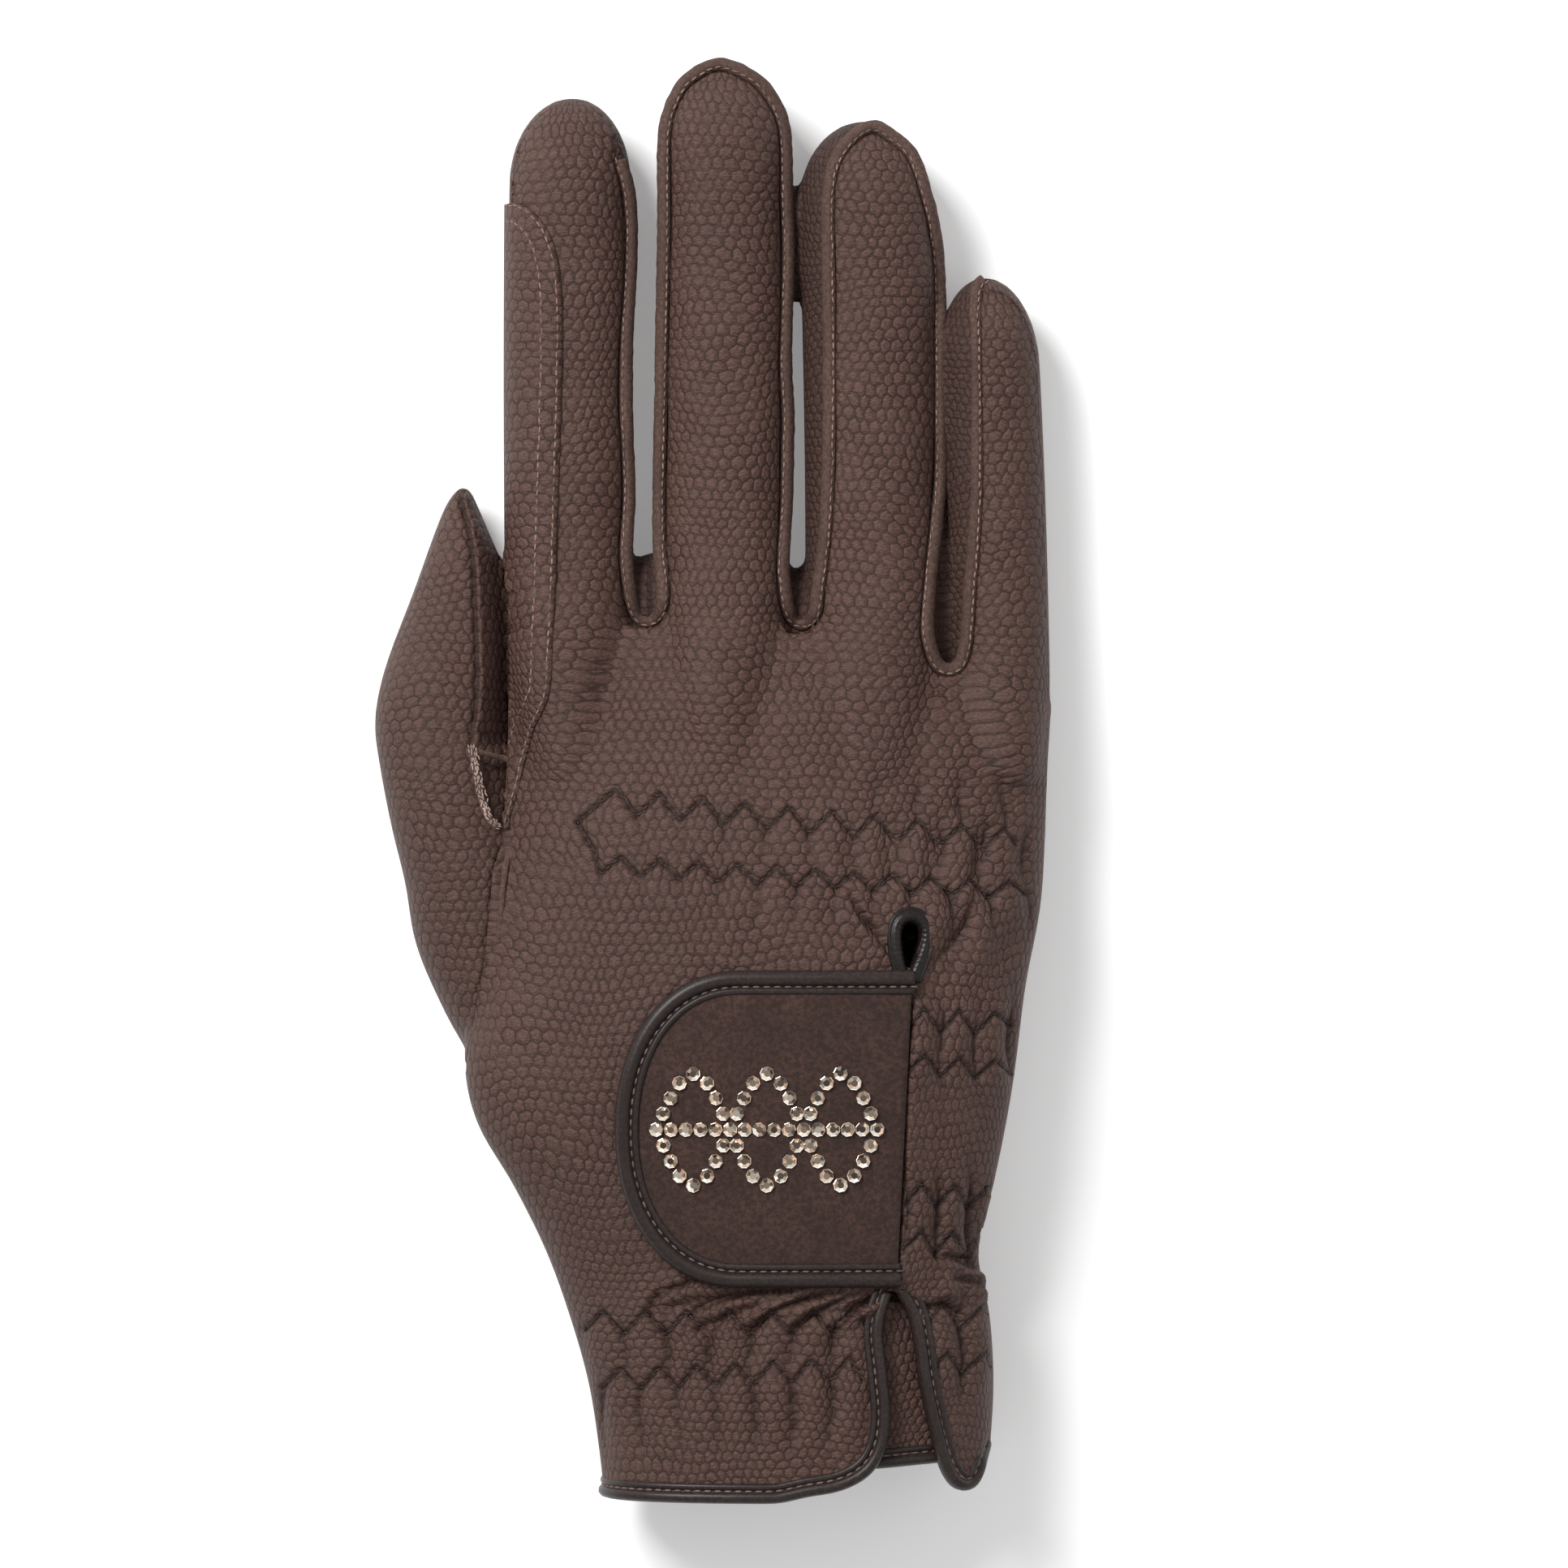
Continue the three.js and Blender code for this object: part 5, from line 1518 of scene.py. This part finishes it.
def grainedLeather(name, look):
    material, tree, shader = newMaterial(name, look["rough"])
    links = tree.links
    place = add(tree, "ShaderNodeAttribute", attribute_name="grain").outputs["Vector"]
    where = objectPlace(tree)
    # the cells' outlines wander a little, and their rows bend slowly
    cell = look["cell"]
    scaled = vector(tree, 'MULTIPLY', place, (1 / cell, 0.97 / cell, 0))
    for size, reach in ((0.8, 0.25), (0.09, 1.5)):
        sway = add(tree, "ShaderNodeTexNoise", Scale=size, Detail=1.0)
        sway.noise_dimensions = '2D'
        links.new(scaled, sway.inputs["Vector"])
        off = vector(tree, 'SUBTRACT', sway.outputs["Color"], (0.5, 0.5, 0.5))
        scaled = vector(tree, 'ADD', scaled, vector(tree, 'MULTIPLY', off, (reach * 2, reach * 2, 0)))
    edge = honeycomb(tree, scaled)
    across = vector(tree, 'MULTIPLY', where, (0.6, 1.5, 1.0))  # fine wrinkles run across the hand
    fine = noise(tree, across, Scale=2300.0, Detail=3.0, Roughness=0.62)
    broad = noise(tree, where, Scale=150.0, Detail=3.0)
    cloudy = noise(tree, where, Scale=22.0, Detail=2.0)
    base = look["base"]
    reddish = (base[0] * 1.05, base[1] * 0.90, base[2] * 0.98)
    tone = mixed(tree, ranged(tree, cloudy, 0.3, 0.7), shade(base, 0.84), shade(base, 1.2))
    tone = mixed(tree, ranged(tree, broad, 0.45, 0.68, 0.0, 0.7), tone, reddish)
    # the fine wrinkles' own darker and lighter tone, whose lightest specks are painted glints
    speck = mixed(tree, ranged(tree, fine, 0.38, 0.66), shade(base, 0.5), shade(base, 1.6))
    tone = mixed(tree, 0.55, tone, speck)
    lines = ranged(tree, edge, 0.015, 0.1, 1.0, 0.0)
    lines = sumOf(tree, lines, ranged(tree, broad, 0.3, 0.6, 0.5, 0.9), 'MULTIPLY')
    tone = mixed(tree, lines, tone, look["line"])
    # painted shade: the colour darkens where the mesh's crease attribute marks grooves, hollows, creases and
    # recesses
    crease = add(tree, "ShaderNodeAttribute", attribute_name="crease").outputs["Fac"]
    tone = mixed(tree, sumOf(tree, crease, 0.88, 'MULTIPLY'), tone, shade(look["line"], 0.6))
    links.new(tone, shader.inputs["Base Color"])
    pillow = ranged(tree, edge, 0.0, 0.3)
    bumped(tree, shader, sumOf(tree, pillow, sumOf(tree, fine, 0.95, 'MULTIPLY')), 0.9, 0.00024)
    rough = ranged(tree, fine, 0.2, 0.8, look["rough"] - 0.08, look["rough"] + 0.12)
    links.new(rough, shader.inputs["Roughness"])
    shader.inputs["Specular IOR Level"].default_value = 0.2
    return material


def plainLeather(name, look):
    material, tree, shader = newMaterial(name, look["rough"])
    where = objectPlace(tree)
    fine = noise(tree, where, Scale=float(look["scale"]), Detail=4.0, Roughness=0.65)
    broad = noise(tree, where, Scale=60.0, Detail=2.0)
    tone = mixed(tree, ranged(tree, broad, 0.3, 0.7), shade(look["base"], 0.85), shade(look["base"], 1.15))
    tone = mixed(tree, ranged(tree, fine, 0.42, 0.62, 0.75, 0.0), tone, look["line"])
    tree.links.new(tone, shader.inputs["Base Color"])
    bumped(tree, shader, fine, look["bump"], 0.00012)
    shader.inputs["Specular IOR Level"].default_value = 0.3
    return material


def suedeCloth(name, look):
    material, tree, shader = newMaterial(name, look["rough"])
    links = tree.links
    where = objectPlace(tree)
    nap = noise(tree, where, Scale=1150.0, Detail=4.0, Roughness=0.75)
    brushed = noise(tree, where, Scale=130.0, Detail=4.0, Roughness=0.6)
    lint = add(tree, "ShaderNodeTexVoronoi", Scale=430.0)
    links.new(where, lint.inputs["Vector"])
    tone = mixed(tree, ranged(tree, brushed, 0.3, 0.7), shade(look["base"], 0.82), shade(look["base"], 1.2))
    tone = mixed(tree, ranged(tree, nap, 0.4, 0.62, 0.75, 0.0), tone, look["line"])
    picked = tree.nodes.new("ShaderNodeSeparateColor")
    links.new(lint.outputs["Color"], picked.inputs[0])
    speck = sumOf(tree, ranged(tree, lint.outputs["Distance"], 0.05, 0.12, 1.0, 0.0),
                  ranged(tree, picked.outputs[1], 0.955, 0.965), 'MULTIPLY')
    tone = mixed(tree, sumOf(tree, speck, 0.7, 'MULTIPLY'), tone, look["lint"])
    links.new(tone, shader.inputs["Base Color"])
    bumped(tree, shader, nap, 0.9, 0.0003)
    shader.inputs["Sheen Weight"].default_value = 0.25
    shader.inputs["Sheen Roughness"].default_value = 0.45
    shader.inputs["Sheen Tint"].default_value = (0.55, 0.42, 0.36, 1)
    return material


def threadLook(name):
    material, tree, shader = newMaterial(name, 0.6)
    base = looks[name]["base"]
    where = objectPlace(tree)
    twist = noise(tree, where, Scale=5200.0, Detail=2.0)
    worn = noise(tree, where, Scale=150.0, Detail=2.0)
    tone = mixed(tree, ranged(tree, worn, 0.3, 0.7), shade(base, 0.6), shade(base, 1.3))
    tree.links.new(tone, shader.inputs["Base Color"])
    bumped(tree, shader, twist, 0.5, 0.00005)
    return material


def crystalGlass(name):
    material, tree, shader = newMaterial(name, 0.12)
    links = tree.links
    facet = add(tree, "ShaderNodeAttribute", attribute_name="paintedGlint").outputs["Color"]
    links.new(facet, shader.inputs["Base Color"])
    smear = noise(tree, objectPlace(tree), Scale=700.0, Detail=1.0)
    links.new(ranged(tree, smear, 0.3, 0.7, 0.08, 0.22), shader.inputs["Roughness"])
    # the painted facet colours also glow, as painted light
    links.new(facet, shader.inputs["Emission Color"])
    shader.inputs["Emission Strength"].default_value = 0.5
    shader.inputs["Metallic"].default_value = 0.85
    shader.inputs["Coat Weight"].default_value = 0.6
    shader.inputs["Coat Roughness"].default_value = 0.04
    return material


grained = grainedLeather("pebbledLeather", looks["grain"])
# the fourchettes' leather, darkened as painted shade
shadedGussetGrained = grainedLeather("gussetLeatherPaintedShade", looks["gusset"])
rawLeather = plainLeather("rawLeatherEdge", looks["rawEdge"])
frayedLeather = plainLeather("frayedLeatherEdge", looks["frayed"])
smoothLeather = plainLeather("smoothBindingLeather", looks["binding"])
darkLeather = plainLeather("slitBindingLeather", looks["slitTop"])
suede = suedeCloth("brushedSuede", looks["suede"])
glass = crystalGlass("cutCrystal")

dressed = [
    (back, grained, "grained_leather", "back_panel"),
    (palm, grained, "grained_leather", "palm_panel"),
    (gussets[0], shadedGussetGrained, "grained_leather", "fourchette_index_middle"),
    (gussets[1], shadedGussetGrained, "grained_leather", "fourchette_middle_ring"),
    (gussets[2], shadedGussetGrained, "grained_leather", "fourchette_ring_little"),
    (thumb, grained, "grained_leather", "thumb"),
    (patchPiece, grained, "grained_leather", "index_patch"),
    (lips, rawLeather, "grained_leather", None),
    (thumbLipPiece, rawLeather, "grained_leather", None),
    (pocketLip, frayedLeather, "grained_leather", None),
    (barPiece, frayedLeather, "grained_leather", None),
    (underlapPiece, grained, "grained_leather", None),
    (cuffPiece, smoothLeather, "binding_leather", "cuff_binding"),
    (underlapHem, smoothLeather, "binding_leather", None),
    (teardropPiece, darkLeather, "binding_leather", "slit_binding"),
    (strapPiece, suede, "suede", "strap"),
    (strapEdge, smoothLeather, "binding_leather", "strap_binding"),
    (crystalPiece, glass, "crystal", "crystal_field"),
    (frayThread, threadLook("frayedThread"), None, None),
    (seamThread, threadLook("seamThread"), None, None),
    (zigzagThread, threadLook("zigzagThread"), None, None),
    (bindingThread, threadLook("bindingThread"), None, None),
]
bpy.data.objects.remove(skin)
for piece, look, slot, node in dressed:
    piece.data.materials.clear()
    piece.data.materials.append(look)
    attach(piece, "root")
    if node:
        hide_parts(node)
print("dressed:", len(dressed), "pieces")

# floor, light and camera
studio = {
    "floor": 3.0, "floorZ": -0.001, "paper": 0.93, "sky": 0.4, "paperGlow": 0.22, "sensor": 36,
    "lamps": [((-0.5, 0.58, 0.78), 0.42, 12.4), ((0.75, 0.1, 0.8), 0.8, 1.4), ((0.0, -0.8, 0.9), 0.8, 0.8)],
    "cameraHeight": 1.4, "centre": (0.01214, -0.00138), "frame": 0.2705, "level": 0.012,
}
bpy.ops.object.select_all(action='DESELECT')
bpy.ops.mesh.primitive_plane_add(size=studio["floor"], location=(0, 0, studio["floorZ"]))
floor = bpy.context.active_object
floor.name = "floor"
paper, _, paperShader = newMaterial("whitePaper", 0.9)
paperShader.inputs["Base Color"].default_value = (*[studio["paper"]] * 3, 1)
paperShader.inputs["Emission Color"].default_value = (1, 1, 1, 1)
paperShader.inputs["Emission Strength"].default_value = studio["paperGlow"]
floor.data.materials.append(paper)
world = bpy.data.worlds.new("studio")
world.use_nodes = True
sky = world.node_tree.nodes["Background"]
sky.inputs["Color"].default_value = (1, 1, 1, 1)
sky.inputs["Strength"].default_value = studio["sky"]
bpy.context.scene.world = world
for place, size, power in studio["lamps"]:
    lamp = bpy.data.lights.new("softbox", 'AREA')
    lamp.energy, lamp.size = power, size
    lampObject = bpy.data.objects.new("softbox", lamp)
    lampObject.location = place
    lampObject.rotation_euler = (-Vector(place)).to_track_quat('-Z', 'Y').to_euler()
    bpy.context.collection.objects.link(lampObject)
cameraData = bpy.data.cameras.new("camera")
cameraData.sensor_width = studio["sensor"]
cameraData.lens = studio["sensor"] * (studio["cameraHeight"] - studio["level"]) / studio["frame"]
camera = bpy.data.objects.new("camera", cameraData)
camera.location = (*studio["centre"], studio["cameraHeight"])
bpy.context.collection.objects.link(camera)
bpy.context.scene.camera = camera
bpy.context.scene.view_settings.view_transform = 'Standard'
